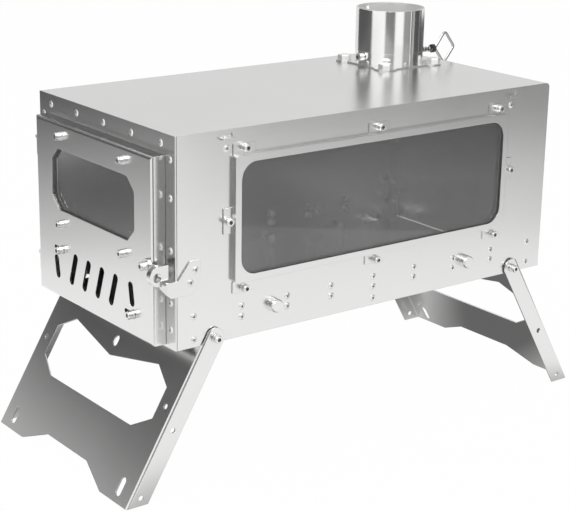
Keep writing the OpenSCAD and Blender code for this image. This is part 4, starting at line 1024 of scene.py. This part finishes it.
@dataclass(frozen=True)
class WireHandle:
    """The damper's handle: a diamond of round wire with round corners, upright and along Y."""

    wire: float = 0.0026
    corner: float = 0.0024
    corner_points: int = 6
    wire_sides: int = 16

    def tree(self, finish: Material) -> NodeTree:
        """Builds the tree that bends the wire.

        Args:
            finish: The material of the wire.

        Returns:
            The tree, which turns a one-point mesh into the handle around that point.
        """
        sizes = ("Length", "Height", "Wire", "Corner")
        graph, given = new_tree("wire_handle", "Middle", sizes, "Handle")
        wire = given.output("Wire")
        unit = {"Width": 1.0, "Height": 1.0}
        flat = {"mode": "RECTANGLE"}
        square = graph.node("GeometryNodeCurvePrimitiveQuadrilateral", flat, unit)
        diagonal = (math.sqrt(0.5), math.sqrt(0.5), 1.0)
        diamond = graph.moved(square, Rotation=(0.0, 0.0, math.pi / 4), Scale=diagonal)
        stretch = graph.vector(given.output("Length") - wire, given.output("Height") - wire, 1.0)
        sized = graph.moved(diamond, Scale=stretch)
        corners = {"Curve": sized, "Count": self.corner_points, "Radius": given.output("Corner")}
        rounded = graph.node("GeometryNodeFilletCurve", {"mode": "POLY"}, corners)
        tube = graph.tube(rounded, wire, self.wire_sides)
        turned = graph.moved(tube, Rotation=(math.pi / 2, 0.0, math.pi / 2))
        dressed = graph.finished(graph.copies(given, turned), finish)
        graph.node("NodeGroupOutput", {}, {0: dressed})
        return graph.tree

    def make(self, box: Box, finish: Material, body: str, node: str) -> Object:
        """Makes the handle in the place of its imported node.

        Args:
            box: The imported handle's corners.
            finish: Its material.
            body: The body that it rides on.
            node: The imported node.

        Returns:
            The finished piece.
        """
        low, high = Vector(box[0]), Vector(box[1])
        mesh = bpy.data.meshes.new(node)
        mesh.from_pydata([tuple((low + high) / 2)], [], [])
        sizes = {
            "Length": high.y - low.y, "Height": high.z - low.z,
            "Wire": self.wire, "Corner": self.corner,
        }
        return grown(f"{node}_detail", mesh, self.tree(finish), sizes, body, node)


@dataclass(frozen=True)
class Coil:
    """The damper's spring: one wire coil along Y with closed ends."""

    turns: int = 6
    wire: float = 0.0009
    turn_points: int = 20
    wire_sides: int = 10

    def tree(self, finish: Material) -> NodeTree:
        """Builds the tree that winds the wire.

        Args:
            finish: The material of the wire.

        Returns:
            The tree, which winds the coil from each point of its mesh.
        """
        graph, given = new_tree("coil", "Foot", ("Radius", "Length", "Wire"), "Spring")
        wire, radius = given.output("Wire"), given.output("Radius")
        wound = graph.node("GeometryNodeCurveSpiral", {}, {
            "Resolution": self.turn_points, "Rotations": float(self.turns),
            "Start Radius": radius, "End Radius": radius, "Height": given.output("Length") - wire,
        })
        tube = graph.tube(wound, wire, self.wire_sides, **{"Fill Caps": True})
        turned = graph.moved(tube, Rotation=(-math.pi / 2, 0.0, 0.0))
        dressed = graph.finished(graph.copies(given, turned), finish)
        graph.node("NodeGroupOutput", {}, {0: dressed})
        return graph.tree

    def make(self, box: Box, finish: Material, body: str, node: str) -> Object:
        """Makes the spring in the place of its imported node.

        Args:
            box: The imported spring's corners.
            finish: Its material.
            body: The body that it rides on.
            node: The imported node.

        Returns:
            The finished piece.
        """
        low, high = Vector(box[0]), Vector(box[1])
        middle = (low + high) / 2
        mesh = bpy.data.meshes.new(node)
        mesh.from_pydata([(middle.x, low.y + self.wire / 2, middle.z)], [], [])
        radius = (high.z - low.z - self.wire) / 2
        sizes = {"Radius": radius, "Length": high.y - low.y, "Wire": self.wire}
        return grown(f"{node}_detail", mesh, self.tree(finish), sizes, body, node)


def grown(
    name: str,
    mesh: bpy.types.Mesh,
    tree: NodeTree,
    sizes: dict[str, float],
    body: str,
    *nodes: str,
) -> Object:
    """Runs a Geometry Nodes tree on a mesh and keeps its result as a plain piece.

    Args:
        name: The piece's name.
        mesh: The mesh that the tree starts from.
        tree: The tree.
        sizes: Values of its named inputs.
        body: The body that the piece rides on.
        nodes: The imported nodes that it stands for.

    Returns:
        The finished piece.
    """
    source = bpy.data.objects.new(name + "_seats", mesh)
    bpy.context.collection.objects.link(source)
    modifier = source.modifiers.new("layout", "NODES")
    modifier.node_group = tree
    for item in tree.interface.items_tree:
        if item.in_out == "INPUT" and item.name in sizes:
            modifier[item.identifier] = sizes[item.name]
    evaluated = source.evaluated_get(bpy.context.evaluated_depsgraph_get())
    result = bpy.data.meshes.new_from_object(evaluated)
    bpy.data.objects.remove(source)
    result.shade_smooth()
    result.set_sharp_from_angle(angle=SMOOTH_ANGLE)
    piece = bpy.data.objects.new(name, result)
    bpy.context.collection.objects.link(piece)
    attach(piece, body)
    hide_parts(*nodes)
    log.info("%s: %d faces", name, len(result.polygons))
    return piece


def solids(node: Object) -> list[Box]:
    """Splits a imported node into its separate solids.

    Args:
        node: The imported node.

    Returns:
        Lower and upper corner of each solid's box, sorted by the lower corner.
    """
    merged = bmesh.new()
    merged.from_mesh(node.data)
    merged.transform(node.matrix_world)
    bmesh.ops.remove_doubles(merged, verts=merged.verts, dist=SAME_PLACE)
    left = set(merged.verts)
    boxes = []
    while left:
        island, border = [], [left.pop()]
        while border:
            vert = border.pop()
            island.append(vert.co.copy())
            near = {e.other_vert(vert) for e in vert.link_edges} & left
            left -= near
            border.extend(near)
        axes = list(zip(*island))
        boxes.append((Vector([min(a) for a in axes]), Vector([max(a) for a in axes])))
    merged.free()
    return sorted(boxes, key=lambda box: tuple(box[0]))


class Ironmonger:
    """Fits the screws, the bolts and the damper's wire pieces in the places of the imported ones."""

    SMALL = Fastener(
        "small_screw", head_d=0.0058, head_h=0.0011, shank_d=0.003, nut_flats=0.0055, crown=0.78,
        recess=Recess.CROSS, recess_w=0.0007, recess_h=0.0007,
    )
    CAP = Fastener(
        "cap_screw", head_d=0.0064, head_h=0.0044, shank_d=0.0036, nut_flats=0.0061,
        washer_d=0.0072, washer_t=0.0008, crown=0.12, crown_start=0.8, knurl=0.035, sides=48,
        recess=Recess.HEXAGON, recess_w=0.003, recess_h=0.0018,
    )
    SIDE = Fastener(
        "side_bolt", head_d=0.0108, head_h=0.0054, shank_d=0.006, nut_flats=0.009, crown=0.16,
        crown_start=0.75, sides=48,
    )
    FLANGE = Fastener(
        "flange_bolt", head_d=0.0124, head_h=0.0046, shank_d=0.005, nut_flats=0.008, crown=0.1,
        crown_start=0.8, sides=HEXAGON_SIDES, most_spin=0.0,
    )
    PLATED_HEADS = (SMALL, FLANGE)
    # Painted shade: dark steel for the inside of the screw recesses.
    RECESS_PAINTED_SHADE = Steel("recess", grey=0.14, roughness=0.5)
    KINDS = {
        "front_screws": (SMALL, Facing.FRONT),
        "rear_screws": (SMALL, Facing.REAR),
        "window_side_screws": (SMALL, Facing.WINDOW_SIDE),
        "plain_side_screws": (SMALL, Facing.PLAIN_SIDE),
        "floor_screws": (SMALL, Facing.DOWN),
        "catch_screws": (SMALL, Facing.WINDOW_SIDE),
        "window_cap_screws": (CAP, Facing.WINDOW_SIDE),
        "glass_cap_screws": (CAP, Facing.FRONT),
        "air_slide_screws": (CAP, Facing.FRONT),
        "latch_pivot_screw": (CAP, Facing.FRONT),
        "leg_pivot_screws": (CAP, Facing.OUTWARD),
        "side_bolts": (SIDE, Facing.OUTWARD),
        "flange_bolts": (FLANGE, Facing.UP),
    }

    def __init__(self, frame: dict, materials: dict[str, Material]) -> None:
        """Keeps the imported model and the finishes.

        Args:
            materials: The finishes by name.
        """
        self.frame = frame
        self.materials = materials
        bodies = frame["record"]["behaviour"]["bodies"]
        self.body = {node: body for body, nodes in bodies.items() for node in nodes}

    def fit(self) -> None:
        """Makes all the pieces."""
        bright, plated = self.materials["bright_steel"], self.materials["plated_steel"]
        shade = self.RECESS_PAINTED_SHADE.material()
        trees: dict[str, NodeTree] = {}
        for node, (kind, facing) in self.KINDS.items():
            if kind.name not in trees:
                finish = plated if kind in self.PLATED_HEADS else bright
                trees[kind.name] = kind.tree(finish, plated, shade)
            seats = kind.seats(solids(self.frame["nodes"][node]), facing)
            kind.lay_out(node, self.body[node], seats, trees[kind.name])
        wire, body = self.materials["wire_steel"], self.body["damper_handle"]
        WireHandle().make(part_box("damper_handle"), wire, body, "damper_handle")
        Coil().make(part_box("damper_spring"), wire, self.body["damper_spring"], "damper_spring")


class Wardrobe:
    """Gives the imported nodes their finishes."""

    # The air slide and the damper shaft take a painted shade, and the door and the inner front
    # corner take boxes of painted shade.
    OWN_FINISHES = {
        "air_slide": "painted_shade_steel", "damper_shaft": "painted_shade_steel",
        "door_panel": "slot_shade_painted_steel", "floor_plate": "corner_shade_painted_steel",
        "side_panel_plain": "corner_shade_painted_steel", "front_frame": "corner_shade_painted_steel",
        "catch_bracket": "satin_steel", "latch_block": "satin_steel",
    }

    FINISHES = (
        Steel("satin_steel"),
        RolledSteel(
            "polished_steel", grey=0.95, roughness=0.14, grain=Grain.UPRIGHT, grain_roughness=0.12
        ),
        Steel("bright_steel", grey=0.86, roughness=0.29, grain=Grain.NONE, edge_radius=0.0003),
        Steel("plated_steel", grey=0.9, roughness=0.45, grain=Grain.NONE, edge_radius=0.0003),
        Steel("wire_steel", grey=0.6, roughness=0.2, grain=Grain.NONE, edge_radius=0.0001),
        Steel("dull_steel", grey=0.5, roughness=0.42, grain=Grain.NONE),
        # Painted shade: dark steel for the air slide and the damper shaft, which are seen in shade.
        Steel("painted_shade_steel", grey=0.16, roughness=0.42, grain=Grain.NONE),
        # Painted shade on the walls of the door's slots and on the inner front corner seen through
        # them.
        PaintedShadeSteel("slot_shade_painted_steel", low=(-0.066, -0.2019, 0.125), high=(0.066, -0.2009, 0.17)),
        PaintedShadeSteel("corner_shade_painted_steel", low=(-0.0992, -0.1895, 0.1165), high=(0.0992, -0.12, 0.147)),
        SmokedGlass("smoked_glass"),
        Woven("gasket"),
        Woven("dark_washer", grey=0.03, roughness=0.5),
    )

    def __init__(self, frame: dict) -> None:
        """Makes the materials.
        """
        self.frame = frame
        self.materials = {finish.name: finish.material() for finish in self.FINISHES}
        self.slots = {p["node"]: p["material_slot"] for p in frame["record"]["subparts"]}

    def dress(self) -> None:
        """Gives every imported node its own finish, or else the one of its slot."""
        for name, node in self.frame["nodes"].items():
            finish = self.materials[self.OWN_FINISHES.get(name, self.slots[name])]
            if node.material_slots:
                for slot in node.material_slots:
                    slot.material = finish
            else:
                node.data.materials.append(finish)
            log.info("%s: %s", name, finish.name)


def main() -> None:
    """Builds the whole scene."""
    logging.basicConfig(level=logging.INFO, format="%(name)s: %(message)s")
    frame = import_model()
    bpy.context.scene.view_settings.view_transform = "Standard"
    Camera().make()
    Studio().make()
    wardrobe = Wardrobe(frame)
    wardrobe.dress()
    Ironmonger(frame, wardrobe.materials).fit()


if __name__ == "__main__":
    main()
